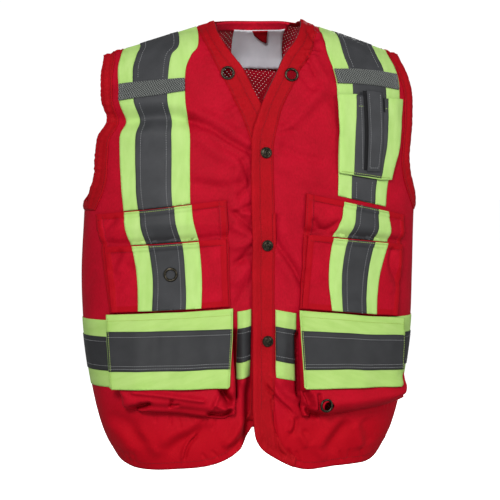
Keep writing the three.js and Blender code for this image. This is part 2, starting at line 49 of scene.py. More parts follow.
# ------------------------------------------------------------------ body form
ROLL = 80.0
ARC = ROLL * math.pi / 2
CREST_Y = -28.0
SQUARE = 2.35
SEAM = 12.0
FAR = 330.0
ARMPIT = -250.0
BODY = np.array([  # z, half width, front depth, back depth, lean
    [60, 246, 90, 84, 10], [-40, 246, 92, 92, 10], [-110, 246, 106, 102, 9], [-190, 246, 118, 106, 7],
    [-270, 246, 121, 104, 3], [-350, 247, 120, 98, 0], [-420, 245, 119, 95, 0], [-470, 240, 118, 96, 0],
    [-520, 232, 117, 99, 0], [-560, 223, 115, 100, 0], [-590, 213, 112, 99, 0], [-615, 200, 107, 96, 0],
    [-640, 184, 100, 92, 0]], float)[::-1]


def through(z, column):
    xs, ys = BODY[:, 0], BODY[:, column]
    z = np.clip(np.asarray(z, float), xs[0], xs[-1])
    m = np.zeros(len(xs))
    m[1:-1] = (ys[2:] - ys[:-2]) / (xs[2:] - xs[:-2])
    m[0], m[-1] = (ys[1] - ys[0]) / (xs[1] - xs[0]), (ys[-1] - ys[-2]) / (xs[-1] - xs[-2])
    i = np.clip(np.searchsorted(xs, z, side="right") - 1, 0, len(xs) - 2)
    h = xs[i + 1] - xs[i]
    u = (z - xs[i]) / h
    return ((2 * u**3 - 3 * u**2 + 1) * ys[i] + (u**3 - 2 * u**2 + u) * h * m[i]
            + (-2 * u**3 + 3 * u**2) * ys[i + 1] + (u**3 - u**2) * h * m[i + 1])


def crest(ratio):
    x = np.abs(246.0 * ratio)
    return 30 - 0.322 * (np.sqrt(x * x + 225) - 15)


# distance round the body from the middle, against the ratio of the half width
_RATIO = np.sin(np.linspace(0, math.pi / 2, 6001))
_ROUND = np.concatenate([[0], np.cumsum(np.hypot(
    np.diff(246 * _RATIO), np.diff(112 * np.maximum(1 - _RATIO**SQUARE, 0) ** (1 / SQUARE))))])
EDGE = float(_ROUND[-1])


def ratio_of(a):
    return np.sign(a) * np.interp(np.abs(a), _ROUND, _RATIO)


def round_of(ratio):
    return np.sign(ratio) * np.interp(np.abs(ratio), _RATIO, _ROUND)


def form(a, t):
    """Point of the form: a is the way round from the middle, t the way down from the crest, + front, - back."""
    ratio, s = ratio_of(a), np.abs(t)
    top, k = crest(ratio), np.minimum(s, ARC) / ROLL
    z = np.where(s < ARC, top - ROLL * (1 - np.cos(k)), top - ROLL - (s - ARC))
    full = np.maximum(1 - np.abs(ratio) ** SQUARE, 0) ** (1 / SQUARE)
    flank = np.where(t >= 0, -through(z, 2), through(z, 3))
    y = full * (CREST_Y + (flank - CREST_Y) * np.sin(k))
    return np.stack([through(z, 4) + through(z, 1) * ratio, y, z], -1)


def form_normal(a, t):
    lo, hi = np.maximum(a - 1.0, -EDGE), np.minimum(a + 1.0, EDGE)
    n = np.cross(form(a, t + 1.0) - form(a, t - 1.0), form(hi, t) - form(lo, t))
    return n / np.maximum(np.linalg.norm(n, axis=-1, keepdims=True), 1e-9)


def flatten(points, front):
    """(x, z) of an outline to (a, t) on the form; above the crest it runs straight on."""
    p = np.asarray(points, float)
    x, z = p[:, 0], p[:, 1]
    ratio = np.clip((x - through(z, 4)) / through(z, 1), -1, 1)
    fall = crest(ratio) - z
    t = np.where(fall < ROLL, np.arccos(np.clip(1 - fall / ROLL, -1, 1)) * ROLL, ARC + fall - ROLL)
    t = np.where(fall < 0, fall, t)
    return np.stack([round_of(ratio), t if front else -t], -1)


# ------------------------------------------------------------------ small helpers
def smooth(k):
    k = np.clip(k, 0, 1)
    return k * k * (3 - 2 * k)


def noise(x, z, seed=0):
    """Smooth noise from -1 to 1 on a unit lattice."""
    x, z = np.asarray(x, float), np.asarray(z, float)
    i, j = np.floor(x).astype(np.int64), np.floor(z).astype(np.int64)
    fx, fz = x - i, z - j
    sx, sz = fx * fx * (3 - 2 * fx), fz * fz * (3 - 2 * fz)

    def at(p, q):
        n = (p * 374761393 + q * 668265263 + seed * 1274126177) & 0xFFFFFFFF
        n = ((n ^ (n >> 13)) * 1103515245) & 0xFFFFFFFF
        n = ((n ^ (n >> 16)) * 69069) & 0xFFFFFFFF
        return ((n >> 8) & 0xFFFF) / 32767.5 - 1

    return ((at(i, j) * (1 - sx) + at(i + 1, j) * sx) * (1 - sz)
            + (at(i, j + 1) * (1 - sx) + at(i + 1, j + 1) * sx) * sz)


def curve(points, step=2.0):
    """A smooth line through points."""
    p = np.asarray(points, float)
    if len(p) < 3:
        return line(p, step)
    d = np.sqrt(np.maximum(np.linalg.norm(np.diff(p, axis=0), axis=1), 1e-6))
    k = np.concatenate([[0], np.cumsum(d)])
    m = np.zeros_like(p)
    m[1:-1] = (p[2:] - p[:-2]) / (k[2:] - k[:-2])[:, None]
    m[0], m[-1] = (p[1] - p[0]) / d[0], (p[-1] - p[-2]) / d[-1]
    out = []
    for i in range(len(p) - 1):
        n = max(1, int(math.ceil(np.linalg.norm(p[i + 1] - p[i]) / step)))
        u = (np.arange(n) / n)[:, None]
        h = k[i + 1] - k[i]
        out.append((2 * u**3 - 3 * u**2 + 1) * p[i] + (u**3 - 2 * u**2 + u) * h * m[i]
                   + (-2 * u**3 + 3 * u**2) * p[i + 1] + (u**3 - u**2) * h * m[i + 1])
    return np.concatenate(out + [p[-1:]])


def line(points, step=2.0):
    """The straight runs between points, with points along them."""
    p = np.asarray(points, float)
    out = []
    for i in range(len(p) - 1):
        n = max(1, int(math.ceil(np.linalg.norm(p[i + 1] - p[i]) / step)))
        out.append(p[i] + (p[i + 1] - p[i]) * (np.arange(n) / n)[:, None])
    return np.concatenate(out + [p[-1:]])


def clip(poly, normal, limit):
    """The part of a closed outline with normal . p <= limit."""
    out, n = [], len(poly)
    v = poly @ np.asarray(normal, float) - limit
    for i in range(n):
        j = (i + 1) % n
        if v[i] <= 0:
            out.append(poly[i])
        if (v[i] <= 0) != (v[j] <= 0):
            out.append(poly[i] + (poly[j] - poly[i]) * v[i] / (v[i] - v[j]))
    return np.array(out)


def along(p):
    return np.concatenate([[0], np.cumsum(np.linalg.norm(np.diff(p, axis=0), axis=1))])


def spaced(p, step, least=1):
    k = along(p)
    n = max(least, int(round(k[-1] / step)))
    s = np.linspace(0, k[-1], n + 1)
    return np.stack([np.interp(s, k, p[:, c]) for c in range(p.shape[1])], 1)


def resample(poly, step):
    """A closed outline with even steps, its corners kept."""
    keep = np.linalg.norm(np.roll(poly, -1, 0) - poly, axis=1) > 1e-3
    p = poly[keep]
    a, b = p - np.roll(p, 1, 0), np.roll(p, -1, 0) - p
    turn = np.abs(np.arctan2(a[:, 0] * b[:, 1] - a[:, 1] * b[:, 0], (a * b).sum(1)))
    corners = np.flatnonzero(turn > 0.45)
    if not len(corners):
        corners = np.array([0])
    p = np.roll(p, -corners[0], 0)
    corners = corners - corners[0]
    ends = list(corners[1:]) + [len(p)]
    closed = np.concatenate([p, p[:1]])
    out = [spaced(closed[s:e + 1], step)[:-1] for s, e in zip(corners, ends)]
    return np.concatenate(out)


def inside(poly, pts):
    order = np.argsort(pts[:, 1], kind="stable")
    x, y = pts[order, 0], pts[order, 1]
    hit = np.zeros(len(pts), bool)
    for (x0, y0), (x1, y1) in zip(poly, np.roll(poly, -1, 0)):
        if y0 == y1:
            continue
        i, j = np.searchsorted(y, (min(y0, y1), max(y0, y1)), side="left")
        hit[i:j] ^= x[i:j] < (x1 - x0) * (y[i:j] - y0) / (y1 - y0) + x0
    out = np.zeros(len(pts), bool)
    out[order] = hit
    return out


def apart(pts, path, closed=False, far=34.0):
    """Distance of points from a line of points, as far as a limit."""
    a = path if closed else path[:-1]
    b = np.roll(path, -1, 0) if closed else path[1:]
    best = np.full(len(pts), float(far))
    order = np.argsort(pts[:, 1], kind="stable")
    ys = pts[order, 1]
    d = b - a
    l2 = np.maximum((d * d).sum(1), 1e-12)
    for i in range(0, len(a), 6):
        k = slice(i, i + 6)
        lo, hi = np.minimum(a[k], b[k]).min(0) - far, np.maximum(a[k], b[k]).max(0) + far
        i0, i1 = np.searchsorted(ys, (lo[1], hi[1]))
        if i0 == i1:
            continue
        ix = order[i0:i1]
        q = pts[ix]
        m = (q[:, 0] > lo[0]) & (q[:, 0] < hi[0])
        if not m.any():
            continue
        ix, q = ix[m], q[m][:, None, :]
        u = np.clip(((q - a[k]) * d[k]).sum(-1) / l2[k], 0, 1)
        r = q - a[k] - u[..., None] * d[k]
        best[ix] = np.minimum(best[ix], np.sqrt((r * r).sum(-1).min(1)))
    return best


def beside(path, d):
    """A line of points moved d to its left."""
    g = np.gradient(path, axis=0)
    g /= np.maximum(np.linalg.norm(g, axis=1, keepdims=True), 1e-9)
    return path + np.stack([-g[:, 1], g[:, 0]], 1) * d


# ------------------------------------------------------------------ outlines, [x, z]
ARM = {  # armhole edges from the top down
    "r": [(-214, -36), (-220, -64), (-220.5, -92), (-218, -137), (-225, -155), (-229.5, -187), (-231.5, -212), (-236, -232)],
    "l": [(219, -36), (230, -64), (236, -92), (233, -137), (230, -155), (227, -187), (231, -212), (239, -232)],
    "back": [(203, -36), (200, -64), (198, -92), (199, -137), (201, -155), (208, -187), (217, -212), (228, -232)],
}


def arm_edge(side, back=False, grow=0.0):
    s = -1 if side == "r" else 1
    rows = [(s * x + 4, z) for x, z in ARM["back"]] if back else ARM[side]
    rows = [(x - s * grow, z - grow * 0.25) for x, z in rows]
    top = [(rows[0][0], 60.0), (rows[0][0], -10.0)]
    foot = [(s * 243 + 4 - s * grow * 0.5, ARMPIT - grow * 0.9)]
    p = curve(top + rows + foot)
    return np.concatenate([p, line([foot[0], (s * FAR, ARMPIT - grow * 0.9)])[1:]])


NECK = {  # neck and closing edges from the shoulder down
    "r": [(-56, 70), (-56.5, 22), (-57, 12), (-58, 2), (-55.5, -9), (-47, -27), (-36.5, -42.7), (-26, -57.5), (-1.3, -108), (10, -132), (17, -165), (17, -230), (17, -380), (17, -530)],
    "l": [(69, 70), (69, 22), (69, 12), (64.5, 3), (54, -15.5), (36, -38), (22.5, -65), (1.8, -104), (-7.6, -128), (-14.5, -146), (-18.5, -180), (-18, -300), (-17, -431), (-16.5, -545)],
}
HEM = {  # from the closing edge round to the side seam
    "r": [(17, -530), (-13, -578), (-27, -600), (-45, -615.5), (-71, -626.5), (-105, -632.5), (-165, -635.5), (-190, -629), (-207, -612), (-240, -609)],
    "l": [(-16.5, -545), (-10, -590), (11.5, -613), (57.6, -634.5), (110, -635), (178, -631), (204, -613), (240, -609)],
}
BAND = {  # outer edge of the neck band and closing band
    "r": [(-78, 70), (-79, 20), (-81, -5), (-68.5, -41.5), (-60.5, -60), (-48, -84), (-36.5, -111), (-28, -130), (-17.4, -172), (-16.5, -250), (-17, -400), (-17, -545), (-24, -566)],
    "l": [(92, 70), (92, 20), (89, -5), (72.5, -41.5), (57.8, -60), (45.7, -84), (30.5, -111), (23.8, -130), (14.5, -172), (15, -250), (15.3, -400), (15.5, -545), (18, -575), (32, -603), (50, -618)],
}
neck_edge = {s: curve(NECK[s]) for s in "rl"}
hem_edge = {s: curve(HEM[s]) for s in "rl"}
band_edge = {s: curve(BAND[s]) for s in "rl"}
EYE_NECK = {"r": (-48.0, -64.0), "l": (44.0, -66.0)}
EYE_CARGO, EYE_TAPE = (88.0, -540.0), (-134.3, -351.0)


def panel_outline(s):
    arm = arm_edge(s)[::-1]
    return np.concatenate([neck_edge[s], hem_edge[s][1:], line([hem_edge[s][-1], (-FAR if s == "r" else FAR, -608.5), arm[0]]), arm[1:]])


def band_outline(s):
    if s == "r":
        low = np.array([(-5.5, -566.0)])
        inner = np.concatenate([neck_edge["r"], line([(17, -530), (-5.5, -566)])[1:]])
    else:
        k = hem_edge["l"]
        low = k[(k[:, 0] < 47) | (k[:, 1] > -600)][1:]
        low = low[low[:, 0] < 47]
        inner = np.concatenate([neck_edge["l"], low])
    return np.concatenate([inner, band_edge[s][::-1]])


def disc(x, z, r, n=28):
    k = np.linspace(0, 2 * math.pi, n, endpoint=False)
    return np.stack([x + r * np.cos(k), z + r * np.sin(k)], -1)


# ------------------------------------------------------------------ folds
# sides, layer, line of points, width, height, kind.  Layer p is under everything on the fronts, 1 and 2 are
# the two patch tiers, c the cargo bags, f the flaps, g the fronts alone.  Kind 0 is a round fold, 1 a sharp one, 2 a step that is
# high on the right of its line and low on the left.
FOLDS = [
    ("r", "p", [(-228, -124), (-194, -133), (-159, -127), (-129, -127), (-104, -132)], 12, -7.5, 0),
    ("r", "p", [(-226, -106), (-160, -108), (-112, -108)], 16, 3.5, 0),
    ("r", "p", [(-224, -158), (-160, -152), (-112, -154)], 18, 3.0, 0),
    ("r", "p", [(-104, -131), (-80, -140), (-47, -163), (-21, -176)], 5.0, -4.2, 0),
    ("r", "p", [(-104, -120), (-72, -129), (-42, -150), (-22, -164)], 8.0, 3.2, 0),
    ("r", "p", [(-84, -148), (-55, -166), (-30, -180)], 5.0, 3.0, 0),
    ("r", "p", [(-89, -141), (-64, -163), (-34, -181)], 4.0, -2.8, 0),
    ("r", "p", [(-92, -160), (-62, -182), (-30, -194)], 9.0, 3.4, 0),
    ("r", "p", [(-93, -154), (-91, -170)], 3.0, -1.6, 1),
    ("r", "p", [(-38, -103), (-50, -112)], 5, -2.0, 0),
    ("r", "p", [(-34, -114), (-50, -124)], 6, 1.8, 0),
    ("r", "p", [(-31, -190), (-20, -217)], 5.0, -5.5, 0),
    ("r", "p", [(-38, -198), (-44, -228)], 8.0, 3.4, 0),
    ("r", "p", [(-21, -226), (-36, -240)], 4.5, -3.4, 0),
    ("r", "p", [(-100, -205), (-52, -214), (-30, -206)], 10, 2.2, 0),
    ("r", "p", [(-98, -222), (-58, -228), (-36, -222)], 7, -2.2, 0),
    ("r", "p", [(-19, -254), (-40, -263)], 4.5, -3.2, 0),
    ("r", "p", [(-19, -266), (-43, -258)], 5.0, 2.6, 0),
    ("r", "p", [(-20, -283), (-42, -264)], 4.0, -3.2, 0),
    ("r", "p", [(-19, -297), (-43, -284)], 6.0, 3.4, 0),
    ("r", "p", [(-19, -312), (-33, -331)], 4.5, -3.0, 0),
    ("r", "p", [(-20, -326), (-40, -335)], 4.5, -3.2, 0),
    ("r", "p", [(-22, -306), (-42, -312)], 6.0, 2.6, 0),
    ("r", "p", [(-24, -342), (-40, -362)], 7.0, 3.0, 0),
    ("r", "p", [(-20, -362), (-38, -392)], 6.0, -2.6, 0),
    ("r", "p", [(-42, -245), (-32, -310)], 13, 3.0, 0),
    ("r", "p", [(-236, -352), (-245, -372)], 4.5, -2.4, 0),
    ("r", "p", [(-234, -300), (-240, -335)], 7.0, -2.0, 0),
    ("l", "p", [(77, -2), (83, -12), (88, -26)], 4.0, -3.6, 0),
    ("l", "p", [(86, 2), (95, -20)], 5.0, 2.6, 0),
    ("l", "p", [(70, -40), (80, -64)], 3.6, -3.0, 0),
    ("l", "p", [(78, -38), (92, -66)], 6.0, 2.4, 0),
    ("l", "p", [(60, -70), (76, -88)], 4.0, -2.0, 0),
    ("l", "p", [(24, -154), (60, -116), (96, -76)], 11, 3.2, 0),
    ("l", "p", [(30, -134), (62, -100), (86, -72)], 7, -2.2, 0),
    ("l", "p", [(46, -148), (86, -112), (108, -96)], 8, -1.8, 0),
    ("l", "p", [(84, -95), (98, -120), (109, -148)], 8, 2.4, 0),
    ("l", "p", [(28, -172), (56, -184), (84, -190)], 6, -2.0, 0),
    ("l", "p", [(24, -151), (42, -146)], 3.0, -2.4, 0),
    ("l", "p", [(30, -198), (60, -214), (96, -222)], 10, 2.2, 0),
    ("l", "p", [(17, -270), (17.5, -302), (27.5, -320), (45, -346), (54, -366)], 4.2, -4.2, 0),
    ("l", "p", [(24, -332), (42, -366), (46, -396)], 9, 3.6, 0),
    ("l", "p", [(30, -292), (46, -322), (56, -340)], 8, 2.8, 0),
    ("l", "p", [(16, -500), (30, -520), (44, -528)], 8, 3.4, 0),
    ("r", "p", [(-220, -565), (-198, -574), (-185, -588), (-173, -608)], 13, 2.8, 2),
    ("r", "p", [(-171, -578), (-149, -606)], 8, 1.6, 0),
    ("r", "p", [(-85, -559), (-101, -576), (-126, -589), (-141, -606)], 13, 3.0, 2),
    ("r", "p", [(-94, -580), (-108, -598), (-114, -622)], 2.8, 2.4, 2),
    ("r", "p", [(-21, -558), (-35, -585), (-53, -606)], 10, 4.2, 2),
    ("r", "p", [(-153, -552), (-153, -562)], 1.9, -1.2, 0),
    ("r", "p", [(-132, -553), (-132, -566)], 1.9, -1.4, 0),
    ("r", "p", [(-121, -558), (-118, -570)], 2.1, -1.0, 0),
    ("r", "p", [(-103, -553), (-102, -563)], 1.9, -1.2, 0),
    ("r", "p", [(-85, -554), (-87, -564)], 1.9, -1.0, 0),
    ("r", "p", [(-69, -560), (-72, -573)], 2.1, -1.2, 0),
    ("r", "p", [(-195, -612), (-190, -623)], 2.0, -1.1, 0),
    ("r", "p", [(-188, -613), (-183, -626)], 2.0, -1.2, 0),
    ("r", "p", [(-179, -615), (-176, -626)], 2.0, -1.0, 0),
    ("r", "p", [(-86, -611), (-80, -619)], 2.0, -1.0, 0),
    ("r", "p", [(-72, -607), (-65, -614)], 2.0, -1.0, 0),
    ("r", "g", [(-43, -436), (-43, -474), (-44, -526)], 4.2, -21.0, 0),
    ("r", "p", [(-28, -404), (-28, -453), (-26, -506)], 8, 4.0, 0),
    ("l", "p", [(2, -506), (22, -531), (39, -546), (45, -555)], 3.4, -2.2, 2),
    ("l", "p", [(45, -556), (44, -573), (38, -582)], 5.5, 2.8, 2),
    ("l", "p", [(12, -533), (17, -568), (22, -602), (31, -614)], 2.4, -2.2, 0),
    ("l", "p", [(89, -561), (93, -579)], 2.8, -1.0, 0),
    ("l", "p", [(128, -561), (101, -591), (91, -611)], 14, 3.0, 2),
    ("l", "p", [(66, -590), (92, -620)], 6, 1.6, 0),
    ("l", "p", [(55, -578), (69, -602)], 6, 1.8, 2),
    ("l", "p", [(148, -568), (162, -610)], 14, 2.4, 2),
    ("l", "p", [(38, -606), (44, -619)], 2.4, -1.4, 0),
    ("l", "p", [(50, -610), (55, -624)], 2.4, -1.4, 0),
    ("l", "p", [(120, -615), (123, -626)], 2.0, -1.1, 0),
    ("l", "p", [(135, -613), (136, -624)], 2.0, -1.0, 0),
    ("l", "p", [(154, -614), (156, -625)], 2.0, -1.1, 0),
    ("l", "g", [(50, -440), (51, -476), (52, -524)], 4.2, -21.0, 0),
    ("l", "p", [(31, -406), (28, -454), (27, -504)], 9, 3.0, 0),
    ("r", "p", [(-177, -541), (-164, -537)], 4.0, -5.0, 0),
    ("r", "p", [(-61, -519), (-53, -531)], 4.5, -7.0, 0),
    ("r", "p", [(-76, -550), (-61, -552), (-51, -547)], 4.2, -6.0, 0),
    ("l", "p", [(58, -541), (66, -551), (78, -556)], 5.0, -7.0, 0),
    ("l", "p", [(57, -522), (60, -534)], 3.0, -4.0, 0),
    # upper tier: it sags over the second mouth
    ("r", "1", [(-222, -288), (-162, -282), (-122, -279), (-56, -277)], 11, 3.4, 0),
    ("r", "1", [(-207, -273), (-221, -293)], 3.6, -2.6, 0),
    ("r", "1", [(-196, -276), (-208, -296)], 6, 2.0, 0),
    ("l", "1", [(64, -276), (112, -279), (168, -289), (214, -294)], 11, 3.0, 0),
    ("l", "1", [(71, -276), (80, -287), (92, -288), (106, -279)], 4.6, -4.4, 0),
    ("l", "1", [(74, -264), (90, -272), (104, -266)], 8, 2.6, 0),
    # lower tier
    ("r", "2", [(-199, -320), (-210, -347)], 4.2, -2.8, 0),
    ("r", "2", [(-189, -322), (-199, -346)], 6, 2.2, 0),
    ("r", "2", [(-186, -343), (-206, -373)], 8, -3.2, 0),
    ("r", "2", [(-88, -318), (-66, -372)], 9, -2.0, 0),
    ("r", "2", [(-76, -330), (-60, -384)], 8, 2.0, 0),
    ("l", "2", [(192, -320), (190, -340), (205, -368)], 5, -3.4, 0),
    ("l", "2", [(181, -322), (180, -346), (192, -376)], 7, 2.4, 0),
    ("l", "2", [(203, -322), (205, -344)], 5, 2.2, 0),
    ("l", "2", [(72, -312), (84, -350)], 10, 2.0, 0),
    ("l", "2", [(90, -316), (94, -372)], 9, -1.8, 0),
    # cargo bags
    ("r", "c", [(-174, -516), (-154, -518), (-120, -523), (-88, -528)], 3.6, 3.6, 0),
    ("r", "c", [(-166, -535), (-120, -540), (-80, -545)], 5.0, -2.6, 0),
    ("r", "c", [(-176, -541), (-158, -534)], 3.5, -9.5, 0),
    ("r", "c", [(-128, -528), (-130, -536)], 2.0, -4.5, 0),
    ("r", "c", [(-130, -536), (-120, -534)], 1.7, -3.5, 0),
    ("r", "c", [(-61, -516), (-51, -532)], 5.2, -13.0, 0),
    ("r", "c", [(-66, -520), (-78, -545)], 3.0, 3.6, 0),
    ("r", "c", [(-76, -549), (-61, -551), (-51, -546)], 4.4, -10.0, 0),
    ("r", "c", [(-71, -534), (-59, -540)], 3.0, 3.0, 0),
    ("l", "c", [(56, -526), (60, -537)], 1.9, 3.0, 0),
    ("l", "c", [(64, -530), (66, -544)], 1.9, 3.0, 0),
    ("l", "c", [(57, -520), (65, -540)], 3.8, -8.0, 0),
    ("l", "c", [(66, -522), (70, -548)], 3.6, 4.0, 0),
    ("l", "c", [(74, -524), (75, -546)], 3.0, -5.0, 0),
    ("l", "c", [(63, -548), (79, -556)], 5.0, -9.0, 0),
    ("l", "c", [(100, -535), (160, -530), (204, -524)], 9, 2.5, 0),
    ("l", "c", [(190, -537), (206, -530)], 4.0, -4.0, 0),
    # flaps
    ("r", "f", [(-176, -420), (-168, -505)], 12, 1.8, 0),
    ("r", "f", [(-150, -430), (-158, -508)], 9, -1.6, 0),
    ("r", "f", [(-112, -440), (-122, -512)], 11, 1.6, 0),
    ("r", "f", [(-86, -425), (-78, -505)], 10, -1.4, 0),
    ("l", "f", [(90, -425), (98, -505)], 12, 1.6, 0),
    ("l", "f", [(130, -430), (122, -510)], 10, -1.4, 0),
    ("l", "f", [(176, -436), (184, -512)], 12, 1.6, 0),
    ("l", "f", [(196, -500), (208, -514)], 6, -3.0, 0),
]
FOLDS = [(s, k, curve(p, 7.0), w, h, e) for s, k, p, w, h, e in FOLDS]
BACK_FOLDS = [(np.array(p, float), w, h) for p, w, h in [
    ([(-150, -520), (-140, -606)], 18, 4.0), ([(-80, -520), (-70, -602)], 16, -3.5), ([(-20, -525), (-16, -600)], 18, 4.0),
    ([(50, -525), (58, -602)], 16, -3.5), ([(120, -520), (128, -604)], 18, 4.0), ([(-190, -300), (-130, -400)], 20, 4.0),
    ([(190, -290), (130, -395)], 20, 4.0), ([(-150, -330), (-100, -405)], 14, -3.0), ([(150, -325), (100, -400)], 14, -3.0),
    ([(-60, -60), (60, -64)], 18, 3.0), ([(-140, -250), (-190, -210)], 14, -3.0), ([(140, -250), (190, -215)], 14, -3.0),
    ([(-100, -550), (-100, -600)], 10, 3.0), ([(85, -548), (90, -600)], 10, 3.0)]]


def over(x):   # the left front lies on the right one
    return 3.0 * smooth((96 - x) / 47)


HEM_Z = {s: (hem_edge[s][np.argsort(hem_edge[s][:, 0])]) for s in "rl"}
ARM_AT = {s: flatten(arm_edge(s), True) for s in "rl"}
ARM_BACK_AT = {s: flatten(arm_edge(s, True), False) for s in "rl"}
BAND_AT = {s: flatten(band_edge[s], True) for s in "rl"}
BAG_SEAM = {"r": np.array([(-184, -547), (-120, -554), (-64, -561), (-44, -556)], float), "l": np.array([(60, -562), (100, -560), (140, -555), (204, -545)], float)}


def beyond(pts, path):
    """Distance of points from a line of points, and how far they lie to the right of it."""
    best, right, part = np.full(len(pts), 1e9), np.zeros(len(pts)), np.zeros(len(pts))
    n = len(path) - 1
    for i, (a, b) in enumerate(zip(path[:-1], path[1:])):
        d = b - a
        l = max(float(np.hypot(*d)), 1e-9)
        u = np.clip(((pts - a) @ d) / l**2, 0, 1)
        r = pts - a - u[:, None] * d
        far = np.hypot(r[:, 0], r[:, 1])
        m = far < best
        best[m] = far[m]
        right[m] = (d[1] * r[m, 0] - d[0] * r[m, 1]) / l
        part[m] = (i + u[m]) / n
    return best, right * smooth(0.25 + 3.4 * np.minimum(part, 1 - part))


def stroke(x, z, p, wide, high, sharp):
    m = (x > p[:, 0].min() - 3.2 * wide) & (x < p[:, 0].max() + 3.2 * wide) & (z > p[:, 1].min() - 3.2 * wide) & (z < p[:, 1].max() + 3.2 * wide)
    d = np.zeros_like(x)
    if m.any():
        q = np.stack([x[m], z[m]], -1)
        if sharp == 2:
            r, k = beyond(q, p)
            d[m] = 2.33 * high * k / wide * np.exp(-((r / wide) ** 2))
        else:
            r = apart(q, p, far=3.3 * wide) / wide
            d[m] = high * (np.exp(-1.6 * r) if sharp else np.exp(-r * r))
    return d


def dent(a, t, xyz, side, layer="p", back=False):
    """Height of the cloth over the form."""
    x, z = xyz[:, 0], xyz[:, 2]
    at = np.stack([a, t], -1)
    fade = 1 - np.abs(ratio_of(a)) ** 14
    if back:
        d = 1.8 * noise(x / 70, z / 95, 11) + 0.7 * noise(x / 30, z / 38, 12)
        for p, w, h in BACK_FOLDS:
            d = d + stroke(x, z, p, w, h, 0)
        for s in "rl":
            r = apart(at, ARM_BACK_AT[s])
            d = d + 0.5 * (1 + noise(z / 30, z * 0, 15)) * np.sin(z * 2 * math.pi / 12 + 2.2 * noise(z / 17, z * 0, 13)) * np.exp(-((r / 11) ** 2))
        d = d + 0.8 * np.sin(x * 2 * math.pi / 10 + 2.5 * noise(x / 22, x * 0, 14)) * np.exp(-(((z + 592) / 9) ** 2))
        return d * fade * smooth((SEAM - t) / 22) + 0.9 * np.exp(-(((t - SEAM) / 3.5) ** 2))
    d = 2.0 * noise(x / 62, z / 85, 1) + 0.8 * noise(x / 23, z / 31, 2) + 0.3 * noise(x / 10, z / 13, 3)
    for s, k, p, w, h, e in FOLDS:
        if s == side and (k in ("p", layer) or k == "g" and layer == "p"):
            d = d + stroke(x, z, p, w, h * (1.45 if k == "c" else 1.0 if k != "p" else 1.6 if p[:, 1].max() < -480 else 1.2), e)
    # puckers along the sewn edges
    r = apart(at, ARM_AT[side])
    s = z if side == "r" else z + 5
    d = d + (0.35 + 0.5 * smooth((-150 - z) / 60) if side == "r" else 0.22) * (1 + noise(s / 30, s * 0, 8)) * np.sin(s * 2 * math.pi / 12 + 3.0 * noise(s / 16, s * 0, 4)) * np.exp(-((r / 10) ** 2))
    h = np.interp(x, HEM_Z[side][:, 0], HEM_Z[side][:, 1])
    d = d + 1.1 * np.maximum(0.15 + noise(x / 26, x * 0, 9), 0) * np.sin(x * 2 * math.pi / 9.5 + 2.6 * noise(x / 18, x * 0, 5)) * np.exp(-(((z - h - 12) / 8.5) ** 2))
    r = apart(np.stack([x, z], -1), BAG_SEAM[side])
    d = d + 1.0 * np.maximum(noise(x / 21, x * 0, 10), 0) * np.sin(x * 2 * math.pi / 8.5 + 3.2 * noise(x / 14, x * 0, 6)) * np.exp(-((r / 8) ** 2)) * (layer == "p")
    r = apart(at, BAND_AT[side])
    k = np.exp(-((r / 9) ** 2)) * smooth((-40 - z) / -40 + 1.0 if side == "l" else (z + 190) / 60)
    s = along(BAND_AT[side])[-1] * 0 + z * 1.1
    d = d + (1.7 if side == "l" else 0.5) * np.sin(s * 2 * math.pi / 12 + 2.2 * noise(s / 15, s * 0, 7)) * k
    d = d - 0.9 * np.exp(-((r / 2.4) ** 2))
    d = d * fade
    if side == "r":   # the lower front edge falls back behind the closing band
        d = d - (6 + 15 * smooth((-470 - z) / 60)) * smooth((x + 33) / 15) * smooth((-412 - z) / 40)
    return d * smooth((t - SEAM) / 14) + 0.9 * np.exp(-(((t - SEAM) / 3.5) ** 2))


# ------------------------------------------------------------------ cloth
began = time.time()
made, stats = {}, []


def new_object(name, verts, faces, uv=None, edge=None, mat=None, flat_shade=False):
    """verts in millimetres."""
    me = bpy.data.meshes.new(name)
    verts, faces = np.asarray(verts, float), np.asarray(faces, np.int64)
    n, m, c = len(verts), len(faces), faces.shape[1]
    me.vertices.add(n)
    me.vertices.foreach_set("co", (verts / 1000).astype(np.float32).ravel())
    me.loops.add(m * c)
    me.loops.foreach_set("vertex_index", faces.astype(np.int32).ravel())
    me.polygons.add(m)
    me.polygons.foreach_set("loop_start", (np.arange(m) * c).astype(np.int32))
    me.polygons.foreach_set("use_smooth", np.full(m, not flat_shade))
    if uv is not None:
        layer = me.uv_layers.new(name="cloth")
        layer.uv.foreach_set("vector", (np.asarray(uv)[faces.ravel()] / 1000).astype(np.float32).ravel())
    if edge is not None:
        at = me.attributes.new("edge", "FLOAT", "POINT")
        at.data.foreach_set("value", np.asarray(edge, np.float32))
    me.update(calc_edges=True)
    me.validate()
    ob = bpy.data.objects.new(name, me)
    bpy.context.scene.collection.objects.link(ob)
    if mat is not None:
        me.materials.append(mat)
    stats.append((name, m * (c - 2)))
    return ob


